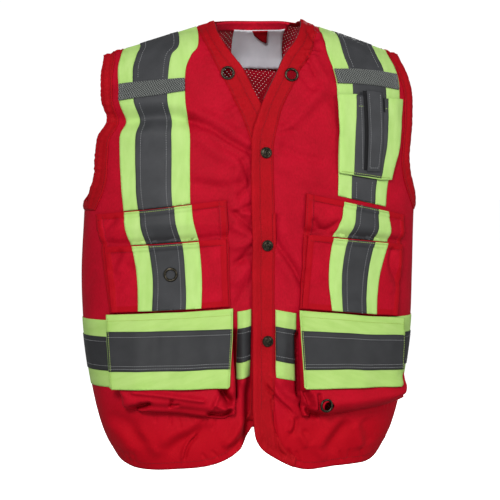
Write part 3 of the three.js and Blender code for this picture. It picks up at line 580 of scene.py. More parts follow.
def triangles(border, holes, step, phase=0.0):
    """A triangulated region of (a, t) with its border points kept."""
    lo, hi = border.min(0), border.max(0)
    rows = np.arange(lo[1] - step, hi[1] + step, step * 0.866)
    pts = []
    for i, y in enumerate(rows):
        x = np.arange(lo[0] - step + (i % 2) * step / 2 + phase, hi[0] + step, step)
        pts.append(np.stack([x, np.full(len(x), y)], -1))
    pts = np.concatenate(pts)
    pts = pts[inside(border, pts)]
    if len(pts):
        pts = pts[apart(pts, border, True, 1.5 * step) > 0.55 * step]
    for h in holes:
        if len(pts):
            pts = pts[~inside(h, pts)]
            pts = pts[apart(pts, h, True, 1.5 * step) > 0.5 * step]
    loops, edges, base = [border, *holes], [], 0
    for q in loops:
        n = len(q)
        edges += [(base + i, base + (i + 1) % n) for i in range(n)]
        base += n
    every = np.concatenate(loops + [pts])
    v, _, f, *_ = delaunay_2d_cdt([Vector(p) for p in every.tolist()], edges, [], 1, 1e-5, False)
    v, f = np.array([tuple(p) for p in v]), np.array(f)
    mid = v[f].mean(1)
    keep = inside(border, mid)
    for h in holes:
        keep &= ~inside(h, mid)
    f = f[keep]
    d1, d2 = v[f[:, 1]] - v[f[:, 0]], v[f[:, 2]] - v[f[:, 0]]
    turn = d1[:, 0] * d2[:, 1] - d1[:, 1] * d2[:, 0]
    f[turn < 0] = f[turn < 0][:, ::-1]
    return v, f


def border_edges(f):
    e = np.concatenate([f[:, [0, 1]], f[:, [1, 2]], f[:, [2, 0]]])
    key = np.sort(e, 1)
    _, first, count = np.unique(key, axis=0, return_index=True, return_counts=True)
    return e[first[count == 1]]


def wobble(p, size):
    return p + size * np.stack([noise(p[:, 0] / 38, p[:, 1] / 44, 21), noise(p[:, 0] / 38, p[:, 1] / 44, 22)], -1)


def place(at, side, layer, back, *offs):
    """Points in space for (a, t), off above the cloth's own folds."""
    a, t = np.clip(at[:, 0], -EDGE + 1e-4, EDGE - 1e-4), at[:, 1]
    p = form(a, t)
    n = form_normal(a, t)
    d = dent(a, t, p, side, layer, back)
    out = [p + n * (d + off(p[:, 0], p[:, 2], at))[:, None] for off in offs]
    return out[0] if len(out) == 1 else out


def cloth(name, node, mat, outline, side="r", low=None, high=None, step=2.4, under=8.0, layer="p", back=False,
          holes=(), size=0.7):
    """A closed sheet of cloth over the form, between two heights."""
    at = flatten(wobble(np.asarray(outline, float), size), not back)
    if back:
        at = clip(at, (0, 1), SEAM - 0.2)
    else:
        at = clip(at, (0, -1), -(SEAM + 0.2))
    border = resample(at, step)
    cut = [resample(flatten(wobble(h, size), not back), step * 0.7) for h in holes]
    v, f = triangles(border, cut, step)
    vu, fu = triangles(border, cut, under, 1.3) if under > step else (v, f)
    if back:   # down the back runs the other way; the faces are turned round below, by which way is out
        f, fu = f, fu
    top = place(v, side, layer, back, high)
    bottom = place(vu, side, layer, back, low)
    # which way is out
    n = np.cross(top[f[:, 1]] - top[f[:, 0]], top[f[:, 2]] - top[f[:, 0]]).sum(0)
    out = form_normal(v[:, 0], v[:, 1]).sum(0)
    if (n * out).sum() < 0:
        f, fu = f[:, ::-1], fu[:, ::-1]
    key = {tuple(np.round(p, 3)): i for i, p in enumerate(vu)}
    rim = border_edges(f)
    walls = []
    for i, j in rim:
        a, b = key.get(tuple(np.round(v[i], 3))), key.get(tuple(np.round(v[j], 3)))
        if a is None or b is None:
            continue
        a, b = a + len(v), b + len(v)
        walls += [(j, i, a), (j, a, b)]
    faces = np.concatenate([f, fu[:, ::-1] + len(v)] + ([np.array(walls)] if walls else []))
    near = np.concatenate([apart(v, border, True, 12.0), apart(vu, border, True, 12.0)])
    ob = new_object(name, np.concatenate([top, bottom]), faces, np.concatenate([v, vu]), np.clip(near / 10, 0, 1), mat)
    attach(ob, "root")
    if node:
        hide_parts(node)
    made[name] = ob
    return ob


def const(d, lift=None):
    if lift is None:
        return lambda x, z, at: np.full(len(x), float(d))
    return lambda x, z, at: d + lift(x)


def lifted(side, d):
    return const(d, over if side == "l" else None)


# ------------------------------------------------------------------ materials
class Nodes:
    """A short way to write a material's nodes."""

    def __init__(self, name):
        self.m = bpy.data.materials.new(name)
        self.m.use_nodes = True
        self.t = self.m.node_tree
        self.b = self.t.nodes["Principled BSDF"]

    def put(self, value, socket):
        if isinstance(value, bpy.types.NodeSocket):
            self.t.links.new(value, socket)
        elif value is not None:
            socket.default_value = value

    def uv(self, sx=1.0, sy=1.0):
        n = self.t.nodes.new("ShaderNodeUVMap")
        n.uv_map = "cloth"
        if sx == 1.0 and sy == 1.0:
            return n.outputs[0]
        m = self.t.nodes.new("ShaderNodeVectorMath")
        m.operation = "MULTIPLY"
        self.t.links.new(n.outputs[0], m.inputs[0])
        m.inputs[1].default_value = (sx, sy, 1.0)
        return m.outputs[0]

    def place(self):
        return self.t.nodes.new("ShaderNodeTexCoord").outputs["Object"]

    def noise(self, vec, scale, detail=3.0, rough=0.55):
        n = self.t.nodes.new("ShaderNodeTexNoise")
        self.put(vec, n.inputs["Vector"])
        n.inputs["Scale"].default_value = scale
        n.inputs["Detail"].default_value = detail
        n.inputs["Roughness"].default_value = rough
        return n.outputs[0]

    def wave(self, vec, scale, direction="X", profile="SIN"):
        n = self.t.nodes.new("ShaderNodeTexWave")
        n.wave_type = "BANDS"
        n.bands_direction = direction
        n.wave_profile = profile
        self.put(vec, n.inputs["Vector"])
        n.inputs["Scale"].default_value = scale
        return n.outputs["Fac"]

    def math(self, op, a, b=None, c=None):
        n = self.t.nodes.new("ShaderNodeMath")
        n.operation = op
        for k, v in enumerate((a, b, c)):
            if v is not None:
                self.put(v, n.inputs[k])
        return n.outputs[0]

    def ramp(self, fac, *stops):
        n = self.t.nodes.new("ShaderNodeValToRGB")
        self.put(fac, n.inputs[0])
        e = n.color_ramp.elements
        while len(e) < len(stops):
            e.new(0.5)
        for k, (p, c) in zip(e, stops):
            k.position = p
            k.color = (*c, 1.0) if len(c) == 3 else c
        return n.outputs[0]

    def mix(self, fac, a, b, kind="MIX"):
        n = self.t.nodes.new("ShaderNodeMix")
        n.data_type = "RGBA"
        n.blend_type = kind
        self.put(fac, n.inputs["Factor"])
        for s, v in (("A", a), ("B", b)):
            socket = [i for i in n.inputs if i.name == s and i.type == "RGBA"][0]
            self.put((*v, 1.0) if isinstance(v, tuple) and len(v) == 3 else v, socket)
        return [o for o in n.outputs if o.type == "RGBA"][0]

    def edge(self):
        n = self.t.nodes.new("ShaderNodeAttribute")
        n.attribute_name = "edge"
        return n.outputs["Fac"]

    def bump(self, height, strength, distance, after=None):
        n = self.t.nodes.new("ShaderNodeBump")
        self.put(height, n.inputs["Height"])
        n.inputs["Strength"].default_value = strength
        n.inputs["Distance"].default_value = distance
        if after is not None:
            self.t.links.new(after, n.inputs["Normal"])
        return n.outputs[0]

    def set(self, **k):
        for name, v in k.items():
            self.put(v, self.b.inputs[name.replace("_", " ")])
        return self.m


def fabric(name, dark, mid, light, weave=360.0, rough=0.70, gloss=0.07, grain=0.45, edge_lift=0.05, top=None, hem=None, low=None):
    """Woven cloth: twill lines, thread to thread variation, broad unevenness, paler edges; the top colour is painted
    light that pales it toward the neck, the low colour painted shade that deepens it toward the hem.
    """
    n = Nodes(name)
    v = n.uv()
    broad = n.noise(v, 22, 4, 0.6)
    slub = n.noise(n.uv(1.0, 0.5), 430, 3, 0.65)
    thread = n.noise(n.uv(1.0, 0.45), 1500, 2, 0.6)
    twill = n.wave(v, weave, "DIAGONAL")
    mixed = n.math("MULTIPLY_ADD", slub, grain, n.math("MULTIPLY_ADD", thread, 0.12, n.math("MULTIPLY", broad, 0.88 - grain)))
    col = n.ramp(mixed, (0.32, dark), (0.50, mid), (0.68, light))
    col = n.mix(n.math("MULTIPLY", twill, 0.10), col, tuple(0.45 * c for c in dark))
    if top is not None:   # painted light: paler with height toward the neck, standing in for light inside the shaded collar
        sep = n.t.nodes.new("ShaderNodeSeparateXYZ")
        n.t.links.new(n.place(), sep.inputs[0])
        up = n.math("MINIMUM", n.math("MAXIMUM", n.math("MULTIPLY_ADD", sep.outputs[2], 14.0, 0.95), 0.0), 1.0)
        col = n.mix(n.math("MULTIPLY", up, 0.9), col, top)
    if low is not None:   # painted shade: a deeper, more saturated red down toward the hem, where less sheen falls
        sep = n.t.nodes.new("ShaderNodeSeparateXYZ")
        n.t.links.new(n.place(), sep.inputs[0])
        down = n.math("MINIMUM", n.math("MAXIMUM", n.math("MULTIPLY_ADD", sep.outputs[2], -12.0, -6.0), 0.0), 1.0)
        col = n.mix(n.math("MULTIPLY", down, 0.75), col, low)
    if hem is not None:   # the turned edge, within about 8 to 9 mm of the border, is a deeper red
        turned = n.math("MINIMUM", n.math("MAXIMUM", n.math("MULTIPLY_ADD", n.edge(), -14.0, 12.4), 0.0), 1.0)
        col = n.mix(n.math("MULTIPLY", turned, 0.62), col, hem)
    # lightens the colour within about 10 mm of each piece's border
    worn = n.math("MULTIPLY", n.math("SUBTRACT", 1.0, n.edge()), edge_lift)
    col = n.mix(worn, col, tuple(min(1.0, 1.25 * c) for c in light))
    n.set(Base_Color=col, Roughness=n.math("MULTIPLY_ADD", broad, 0.16, rough - 0.08), Specular_IOR_Level=gloss)
    n.set(Normal=n.bump(slub, 0.22, 0.0005, n.bump(thread, 0.25, 0.0004, n.bump(twill, 0.22, 0.0003))))
    return n.m


# The low colour of these two reds is painted shade, deepening the red toward the hem.
RED = fabric("red_twill", (0.262, 0.0014, 0.0086), (0.342, 0.0020, 0.0128), (0.422, 0.0034, 0.0188), low=(0.350, 0.0004, 0.0054))
RED_POCKET = fabric("red_pocket", (0.272, 0.0014, 0.0086), (0.354, 0.0020, 0.0128), (0.436, 0.0034, 0.0188), low=(0.350, 0.0004, 0.0054))
RED_TIER = fabric("red_tier", (0.272, 0.0014, 0.0086), (0.354, 0.0020, 0.0128), (0.436, 0.0034, 0.0188), hem=(0.288, 0.0004, 0.0024))
RED_BAND = fabric("red_band", (0.235, 0.0008, 0.0036), (0.300, 0.0013, 0.0055), (0.370, 0.0024, 0.0088), gloss=0.08, edge_lift=0.12)
# The net's top colour is painted light: it pales the net with height near the neck, where the collar keeps it in shade.
RED_NET = fabric("red_net", (0.205, 0.0012, 0.0065), (0.265, 0.0018, 0.0090), (0.330, 0.0028, 0.0125), weave=700, rough=0.7, gloss=0.1, top=(0.90, 0.009, 0.038))
# A paler copy of the red: painted light on the facing, which lies in shade inside the back neck.
RED_FACING_LIT = fabric("red_facing_painted_light", (0.480, 0.0060, 0.0220), (0.600, 0.0080, 0.0290), (0.720, 0.0110, 0.0380))
LIME_T = dict(dark=(0.295, 0.480, 0.118), mid=(0.350, 0.535, 0.155), light=(0.405, 0.585, 0.195))


def lime(name, across=False, level=1.0):
    n = Nodes(name)
    v = n.uv()
    broad = n.noise(n.uv(1.0, 0.25) if not across else n.uv(0.25, 1.0), 95, 3, 0.55)
    patch = n.noise(v, 26, 3, 0.6)
    thread = n.noise(v, 1400, 2, 0.6)
    rib = n.wave(v, 260, "Y" if not across else "X")
    mixed = n.math("MULTIPLY_ADD", broad, 0.5, n.math("MULTIPLY_ADD", thread, 0.2, n.math("MULTIPLY", patch, 0.3)))
    dark, mid, light = [tuple(level * q * (level if i == 2 else 1) for i, q in enumerate(LIME_T[k])) for k in ("dark", "mid", "light")]
    col = n.ramp(mixed, (0.32, dark), (0.5, mid), (0.7, light))
    col = n.mix(n.math("MULTIPLY", rib, 0.07), col, (0.22, 0.40, 0.06))
    worn = n.math("MULTIPLY", n.math("SUBTRACT", 1.0, n.edge()), 0.18)
    col = n.mix(worn, col, (0.30, 0.56, 0.10))
    n.set(Base_Color=col, Roughness=n.math("MULTIPLY_ADD", patch, 0.18, 0.58))
    n.set(Sheen_Weight=0.04, Sheen_Roughness=0.5, Sheen_Tint=(0.9, 1.0, 0.6, 1.0), Specular_IOR_Level=0.2)
    n.set(Normal=n.bump(thread, 0.18, 0.0003, n.bump(rib, 0.25, 0.0003)))
    return n.m


# The crosswise and flap copies run their ribs across and are darker than the tape: the darkening is painted shade.
LIME, LIME_X_SHADED, LIME_FLAP_SHADED = lime("lime_tape"), lime("lime_tape_across_painted_shade", True, 0.93), lime("lime_flap_painted_shade", True, 0.90)


def silver(name, level=1.0):
    n = Nodes(name)
    v = n.uv()
    bead = n.noise(v, 2600, 2, 0.7)
    broad = n.noise(v, 30, 4, 0.6)
    spot = n.ramp(n.noise(v, 420, 2, 0.5), (0.70, (0, 0, 0)), (0.78, (1, 1, 1)))
    mixed = n.math("MULTIPLY_ADD", bead, 0.35, n.math("MULTIPLY", broad, 0.65))
    col = n.ramp(mixed, *((p, tuple(level * q for q in c)) for p, c in ((0.3, (0.024, 0.025, 0.027)), (0.52, (0.034, 0.035, 0.038)), (0.75, (0.047, 0.048, 0.052)))))
    col = n.mix(n.math("MULTIPLY", spot, 0.12), col, (0.20, 0.20, 0.20))
    n.set(Base_Color=col, Roughness=n.math("MULTIPLY_ADD", broad, 0.16, 0.50))
    n.set(Specular_IOR_Level=0.20)
    n.set(Normal=n.bump(bead, 0.3, 0.0003))
    return n.m


# The two darker copies of the tape are painted shade, for the flaps, the waist tapes and the pocket tapes.
SILVER, STRAP, SILVER_SHADED, SILVER_POCKET_SHADED = silver("silver_tape"), silver("silver_strap"), silver("silver_painted_shade", 0.62), silver("silver_pocket_painted_shade", 0.84)


def webbing(name):
    n = Nodes(name)
    sep = n.t.nodes.new("ShaderNodeSeparateXYZ")
    n.t.links.new(n.uv(), sep.inputs[0])
    zig = n.math("PINGPONG", sep.outputs[1], 0.0032)
    rows = n.math("SINE", n.math("MULTIPLY", n.math("ADD", n.math("MULTIPLY", zig, 1.0), sep.outputs[0]), 2 * math.pi / 0.0030))
    rows = n.math("MULTIPLY_ADD", rows, 0.5, 0.5)
    grain = n.noise(n.uv(), 900, 3, 0.7)
    col = n.ramp(n.math("MULTIPLY_ADD", rows, 0.55, n.math("MULTIPLY", grain, 0.45)), (0.25, (0.010, 0.011, 0.011)), (0.52, (0.046, 0.051, 0.049)), (0.80, (0.185, 0.195, 0.182)))
    n.set(Base_Color=col, Roughness=0.82, Specular_IOR_Level=0.2, Sheen_Weight=0.15)
    n.set(Normal=n.bump(rows, 0.6, 0.0006, n.bump(grain, 0.3, 0.0004)))
    return n.m


WEB = webbing("grey_webbing")


def satin(name):
    n = Nodes(name)
    v = n.uv()
    broad = n.noise(n.uv(1.0, 0.5), 26, 3, 0.5)
    fine = n.wave(v, 420, "Y")
    grain = n.noise(v, 1800, 2, 0.6)
    col = n.ramp(n.math("MULTIPLY_ADD", grain, 0.2, n.math("MULTIPLY", broad, 0.8)), (0.3, (0.62, 0.63, 0.68)), (0.55, (0.74, 0.75, 0.80)), (0.8, (0.86, 0.87, 0.91)))
    n.set(Base_Color=col, Roughness=n.math("MULTIPLY_ADD", broad, 0.2, 0.24))
    n.set(Specular_IOR_Level=0.6, Sheen_Weight=0.2, Sheen_Roughness=0.3, Anisotropic=0.5)
    n.set(Normal=n.bump(fine, 0.15, 0.0002))
    return n.m


SATIN = satin("label_satin")


def metal(name, level=1.0):
    n = Nodes(name)
    v = n.place()
    worn = n.noise(v, 420, 4, 0.65)
    fine = n.noise(v, 2600, 2, 0.6)
    col = n.ramp(n.math("MULTIPLY_ADD", fine, 0.3, n.math("MULTIPLY", worn, 0.7)), *((p, tuple(level * q for q in c)) for p, c in ((0.36, (0.012, 0.011, 0.009)), (0.54, (0.042, 0.036, 0.026)), (0.72, (0.17, 0.145, 0.095)))))
    n.set(Base_Color=col, Metallic=1.0, Roughness=n.math("MULTIPLY_ADD", worn, 0.35, 0.16))
    n.set(Normal=n.bump(worn, 0.25, 0.0004))
    return n.m


METAL, METAL_DARK = metal("antique_brass"), metal("dark_brass", 0.6)


def thread(name, dark, light, rough=0.7):
    n = Nodes(name)
    v = n.place()
    f = n.noise(v, 900, 3, 0.6)
    n.set(Base_Color=n.ramp(f, (0.35, dark), (0.65, light)), Roughness=rough, Specular_IOR_Level=0.2)
    n.set(Normal=n.bump(n.noise(v, 3000, 2, 0.5), 0.3, 0.0003))
    return n.m


T_RED = thread("thread_red", (0.17, 0.0022, 0.007), (0.27, 0.004, 0.012))
T_GREY = thread("thread_grey", (0.15, 0.155, 0.16), (0.27, 0.275, 0.28))
T_LIME = thread("thread_lime", (0.26, 0.38, 0.07), (0.38, 0.52, 0.13))
T_OLIVE = thread("thread_olive", (0.24, 0.33, 0.05), (0.32, 0.42, 0.08))
SLIT_SHADOW = thread("painted_slit_shadow", (0.004, 0.004, 0.0045), (0.010, 0.010, 0.011), 0.9)
PIPING = thread("edge_cord", (0.055, 0.022, 0.026), (0.095, 0.045, 0.05), 0.8)

# ------------------------------------------------------------------ panels, bands, bindings
WORD = {"r": "right", "l": "left"}
for s in "rl":
    side = WORD[s]
    eye = [disc(*EYE_NECK[s], 7.4)]
    cloth(f"front_panel_{side}_cloth", f"front_panel_{side}", RED, panel_outline(s), s,
          lifted(s, -1.2), lifted(s, 0.0), 2.3, 4.6, holes=eye)

    def band_high(x, z, at, s=s):
        r = apart(at, flatten(wobble(np.concatenate([neck_edge[s], hem_edge[s]]), 0.7), True))
        q = apart(at, BAND_AT[s])
        roll = 0.9 * np.exp(-(((r - 4) / 4.5) ** 2)) - 0.5 * np.exp(-(((r - 10.5) / 1.8) ** 2))
        return 1.3 + (over(x) if s == "l" else 0) + roll - 0.7 * np.exp(-((q / 1.6) ** 2))

    cloth(f"front_band_{side}_cloth", f"front_band_{side}", RED_BAND, band_outline(s), s,
          lifted(s, 0.3), band_high, 1.9, 6.0, holes=eye)

    for back in (False, True):
        tag = "back" if back else "front"
        out, inn = arm_edge(s, back, -1.2), arm_edge(s, back, 13.0)
        path = ARM_BACK_AT[s] if back else ARM_AT[s]

        def bind_high(x, z, at, path=path, teeth=0.3 if s == "r" else 0.1):
            r = apart(at, path)
            return 1.4 + 1.3 * np.exp(-(((r - 4.5) / 4.2) ** 2)) - 0.5 * np.exp(-(((r - 11) / 1.6) ** 2)) + teeth * (1 + noise(z / 25, z * 0, 32)) * np.sin(z * 2 * math.pi / 7 + 2 * noise(z / 11, z * 0, 31)) * np.exp(-(((r - 6) / 6) ** 2))

        def bind_low(x, z, at, path=path):
            return 0.3 - 2.0 * smooth((1.6 - apart(at, path)) / 2.0)

        cloth(f"armhole_binding_{tag}_{side}_cloth", f"armhole_binding_{tag}_{side}", RED_BAND,
              np.concatenate([out, inn[::-1]]), s, bind_low, bind_high, 1.7, 5.0, back=back, size=0.8)

# ------------------------------------------------------------------ mesh back
BACK_OUT = np.concatenate([
    line([(-57, 60), (-57, 13.3)])[:-1], curve([(-57, 13.3), (-30, 16), (9, 17.6), (48, 17), (70, 13.5)]), line([(70, 13.5), (70, 60)])[1:],
    line([(70, 60), (207, 60)])[1:-1], arm_edge("l", True), line([(FAR, -260), (FAR, -608)]),
    curve([(FAR, -608), (150, -606), (60, -600), (0, -598), (-60, -600), (-150, -606), (-FAR, -608)])[1:],
    line([(-FAR, -608), (-FAR, -252)])[1:], arm_edge("r", True)[::-1], line([(-199, 60), (-57, 60)])[1:-1]])


def net(name, node, mat, outline, wide, tall, low, high, open_share, columns):
    """A knitted net of diamond holes inside an outline, in pieces side by side."""
    at = clip(flatten(outline, False), (0, 1), SEAM - 0.2)
    border = resample(at, 3.0)
    lo, hi = border.min(0), border.max(0)
    nx, ny = int((hi[0] - lo[0]) / wide) + 3, int((hi[1] - lo[1]) / tall) + 3
    j, i = np.meshgrid(np.arange(ny), np.arange(nx), indexing="ij")
    cx = lo[0] + (2 * i + (j % 2)) * wide / 2
    cy = lo[1] + j * tall
    c = np.stack([cx.ravel(), cy.ravel()], -1)
    ij = np.stack([(2 * i + (j % 2)).ravel(), j.ravel()], -1)
    keep = inside(border, c)
    keep[keep] = apart(c[keep], border, True, 12.0) > 5.0
    c, ij = c[keep], ij[keep]
    limits = np.linspace(-EDGE, EDGE, columns + 1)
    out = []
    for k in range(columns):
        m = (c[:, 0] >= limits[k]) & (c[:, 0] < limits[k + 1])
        cc, jj = c[m], ij[m]
        step = np.array([(1, 0), (0, 1), (-1, 0), (0, -1)])
        keys = jj[:, None, :] + step[None]
        flatkeys, inv = np.unique(keys.reshape(-1, 2), axis=0, return_inverse=True)
        corner = np.stack([lo[0] + flatkeys[:, 0] * wide / 2, lo[1] + flatkeys[:, 1] * tall], -1)
        inv = inv.reshape(-1, 4)
        h = math.sqrt(open_share)
        hole = cc[:, None, :] + step[None] * np.array([wide / 2, tall]) * h
        nc, nh = len(corner), len(cc)
        pts = np.concatenate([corner, hole.reshape(-1, 2)])
        hi_ix = nc + np.arange(nh * 4).reshape(-1, 4)
        top = place(pts, "r", "p", True, const(high))
        a, b = inv, np.roll(inv, -1, 1)
        p, q = hi_ix, np.roll(hi_ix, -1, 1)
        faces = np.stack([a, b, q, p], -1).reshape(-1, 4)
        g = np.cross(top[faces[:, 1]] - top[faces[:, 0]], top[faces[:, 2]] - top[faces[:, 0]]).sum(0)
        if (g * form_normal(pts[:, 0], pts[:, 1]).sum(0)).sum() < 0:
            faces = faces[:, ::-1]
        tag = f"{name}_{k + 1}"
        # the threads are round: the knots stand a little over the strands
        n = form_normal(pts[:, 0], pts[:, 1])
        top[:nc] += 0.25 * n[:nc]
        ob = new_object(tag, top, faces, pts, np.ones(len(pts)), mat)
        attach(ob, "root")
        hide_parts(node)
        out.append(ob)
    return out


scale = 1.0
net("back_mesh", "back_panel", RED_NET, BACK_OUT, 5.6 * scale, 3.8 * scale, -0.75, -0.3, 0.020, 2)
# the turned edge that frames the mesh
_edge = BACK_OUT
_inner = []
_at = clip(flatten(_edge, False), (0, 1), SEAM - 0.2)
_ring = resample(_at, 2.4 * (1.0))


def ring_cloth(name, node, mat, ring, width, low, high, step):
    """A strip along the inside of an outline."""
    sign = 1 if ((ring * np.roll(np.roll(ring, -1, 0), 1, 1) * [1, -1]).sum() > 0) else -1
    k = 7
    g = np.roll(ring, -1, 0) - np.roll(ring, 1, 0)
    for _ in range(3):
        g = (np.roll(g, 1, 0) + g + np.roll(g, -1, 0)) / 3
    g /= np.maximum(np.linalg.norm(g, axis=1, keepdims=True), 1e-9)
    nrm = np.stack([-g[:, 1], g[:, 0]], -1) * sign
    n = len(ring)
    rows = [ring + nrm * width * j / k for j in range(k + 1)]
    pts = np.concatenate(rows)
    pts[:, 0] = np.clip(pts[:, 0], -EDGE, EDGE)
    top, bottom = place(pts, "r", "p", True, const(high), const(low))
    i = np.arange(n)
    quads = np.concatenate([np.stack([j * n + i, j * n + (i + 1) % n, (j + 1) * n + (i + 1) % n, (j + 1) * n + i], -1) for j in range(k)])
    m = len(pts)
    rim0 = np.stack([(i + 1) % n, i, i + m, (i + 1) % n + m], -1)
    rim1 = np.stack([k * n + i, k * n + (i + 1) % n, k * n + (i + 1) % n + m, k * n + i + m], -1)
    faces = np.concatenate([quads, quads[:, ::-1] + m, rim0, rim1])
    g = np.cross(top[quads[:, 1]] - top[quads[:, 0]], top[quads[:, 2]] - top[quads[:, 0]]).sum(0)
    if (g * form_normal(pts[:, 0], pts[:, 1]).sum(0)).sum() < 0:
        faces = faces[:, ::-1]
    ob = new_object(name, np.concatenate([top, bottom]), faces, np.concatenate([pts, pts]), np.tile(np.repeat(np.clip(np.arange(k + 1) / k, 0, 1), n), 2), mat)
    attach(ob, "root")
    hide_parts(node)
    return ob


ring_cloth("back_mesh_border", "back_panel", RED_BAND, _ring, 11.0, -1.1, 0.2, 2.4)

# ------------------------------------------------------------------ inside the back neck
FACING_TOP = curve([(-57, 13.3), (-30, 16), (9, 17.6), (48, 17), (70, 13.5)])
facing = np.concatenate([FACING_TOP[(FACING_TOP[:, 0] > -50) & (FACING_TOP[:, 0] < 64)], line([(64, 8.6), (48, 9), (9, 9.5), (-30, 9), (-50, 8)])])


def lean(d):
    return lambda x, z, at: d - 5.6 * smooth((16.8 - z) / 8.5)


def settle(z, at):
    """The label hangs straight from the facing while the back falls away."""
    return -4.5 * np.clip((z + 30) / 38, 0, 1) * np.clip(form(at[:, 0], at[:, 1])[:, 1] / 20, 0, 1)


cloth("neck_facing_back_cloth", "neck_facing_back", RED_FACING_LIT, facing, "r", lean(-2.5), lean(-1.4), 1.6, 4.0, back=True, size=0.2)


def label_off(extra):
    return lambda x, z, at: extra + settle(z, at) - 1.6 * np.sin(np.clip((6 - z) / 55, 0, 1) * math.pi) - 0.8 * np.sin((x - 20) / 14) * smooth((0 - z) / 40) - 1.4 * smooth((x - 46) / 14) * smooth((-30 - z) / 18)


cloth("neck_label_cloth", "neck_label", SATIN, line([(-17, 12.6), (60, 12.6), (71, -46), (69, -49), (-6, -49), (-8.5, -46), (-17, 12.6)])[:-1], "r",
      label_off(-5.2), label_off(-4.4), 1.8, 4.0, back=True, size=0.3)


def loop_off(extra):
    return lambda x, z, at: extra + settle(z, at) - 2.2 * np.sin(np.clip((7 - z) / 18, 0, 1) * math.pi)


cloth("hang_loop_cloth", "hang_loop", RED_BAND, line([(15, 13), (38, 13), (41, -3.5), (39.5, -5), (20, 6.5), (15, 13)])[:-1], "r",
      loop_off(-7.4), loop_off(-6.3), 1.4, 3.0, back=True, size=0.2)

# ------------------------------------------------------------------ tapes
TAPE_A = {  # z, outer edge, silver, silver, inner edge
    "r": [(70, -181, -159, -104, -76), (-20, -186, -164, -112, -86), (-38, -193, -172, -125, -98), (-60, -199, -179, -131, -107.5),
          (-103, -198.5, -179, -134, -109.5), (-133, -194, -174, -129, -106), (-153, -198.5, -177.5, -130, -104.5),
          (-187, -200.5, -180, -131, -105.7), (-230, -199.5, -180, -131.5, -106)],
    "l": [(70, 93, 118, 170, 192), (-29, 101.5, 126, 180, 202), (-55, 108.5, 132.5, 187.5, 210), (-80, 112.5, 136.5, 190, 214),
          (-130, 113, 136.5, 187, 209), (-180, 111, 133, 178, 199), (-222, 109.7, 130.5, 169, 188.5)],
}
TAPE_A_END = {"r": [(-196.5, -261.5), (-177, -259.5), (-130, -254), (-105, -250.5)], "l": [(109.5, -240), (130, -244.5), (167, -252), (186, -256)]}
tape_lines = {s: [curve([(r[k + 1], r[0]) for r in TAPE_A[s]] + [TAPE_A_END[s][k]]) for k in range(4)] for s in "rl"}
for s in "rl":
    side, e = WORD[s], tape_lines[s]
    cloth(f"shoulder_tape_{side}_cloth", f"shoulder_tape_{side}", LIME, np.concatenate([e[0], e[3][::-1]]), s,
          const(0.3), const(1.3), 2.3, 7.0)
    cloth(f"shoulder_tape_silver_{side}_cloth", f"shoulder_tape_silver_{side}", SILVER, np.concatenate([e[1], e[2][::-1]]), s,
          const(1.4), const(2.3), 2.3, 7.0)


def back_tape(sign, half):
    x0, z0, xc, zc = -142, 5, 6, -250
    dx, dz = xc - x0, zc - z0
    l = math.hypot(dx, dz)
    n = np.array([-dz / l, dx / l]) * half
    a, b = np.array([x0 - 0.9 * dx, z0 - 0.9 * dz]), np.array([x0 + 3.2 * dx, z0 + 3.2 * dz])
    o = np.array([a + n, b + n, b - n, a - n])
    if sign < 0:
        o = np.stack([2 * xc - o[:, 0], o[:, 1]], -1)[::-1]
    o = clip(clip(clip(o, (0, -1), 417), (1, 0), 240 if sign > 0 else 194), (-1, 0), 186 if sign > 0 else 240)
    o = clip(o, (0, 1), 75)
    return line(np.concatenate([o, o[:1]]))[:-1]


def crossing(over_by, d):
    return lambda x, z, at: d + over_by * smooth((SEAM - at[:, 1]) / 70)


for s, sign, d in (("r", 1, 0.0), ("l", -1, 2.6)):
    side = WORD[s]
    cloth(f"back_tape_{side}_cloth", f"back_tape_{side}", LIME, back_tape(sign, 51), "r", crossing(d, 0.3), crossing(d, 1.3), 2.9, 9.0, back=True)
    cloth(f"back_tape_silver_{side}_cloth", f"back_tape_silver_{side}", SILVER, back_tape(sign, 25.4), "r", crossing(d, 1.4), crossing(d, 2.3), 2.9, 9.0, back=True)


def level(x0, x1, top, bottom, d0=0.0, d1=0.0):
    return line([(x0, top + d0), (x1, top + d1), (x1, bottom + d1), (x0, bottom + d0), (x0, top + d0)])[:-1]


cloth("waist_tape_back_cloth", "waist_tape_back", LIME_X_SHADED, level(-FAR, FAR, -418, -515), "r", const(0.3), const(1.3), 2.9, 9.0, back=True)
cloth("waist_tape_back_silver_cloth", "waist_tape_back_silver", SILVER, level(-FAR, FAR, -442, -491), "r", const(1.4), const(2.3), 2.9, 9.0, back=True)
for s, x0, x1 in (("r", -FAR, -192), ("l", 188, FAR)):
    side = WORD[s]
    cloth(f"waist_tape_side_{side}_cloth", f"waist_tape_side_{side}", LIME_X_SHADED, level(x0, x1, -418, -515), s, const(0.3), const(1.3), 2.2, 6.0, size=0.4)
    cloth(f"waist_tape_side_silver_{side}_cloth", f"waist_tape_side_silver_{side}", SILVER_SHADED, level(x0, x1, -442, -491), s, const(1.4), const(2.3), 2.2, 6.0, size=0.4)
CENTRE = {"r": (-38.5, -18.6, 13, 17), "l": (16.5, 47, 16, 10)}
for s, (x0, x1, d0, d1) in CENTRE.items():
    side = WORD[s]
    cloth(f"waist_tape_centre_{side}_cloth", f"waist_tape_centre_{side}", LIME_X_SHADED, level(x0, x1, -418, -515, d0, d1), s, lifted(s, 0.3), lifted(s, 1.3), 2.0, 6.0, size=0.5)
    cloth(f"waist_tape_centre_silver_{side}_cloth", f"waist_tape_centre_silver_{side}", SILVER_SHADED, level(x0, x1, -442, -491, d0, d1), s, lifted(s, 1.4), lifted(s, 2.3), 2.0, 6.0, size=0.5)

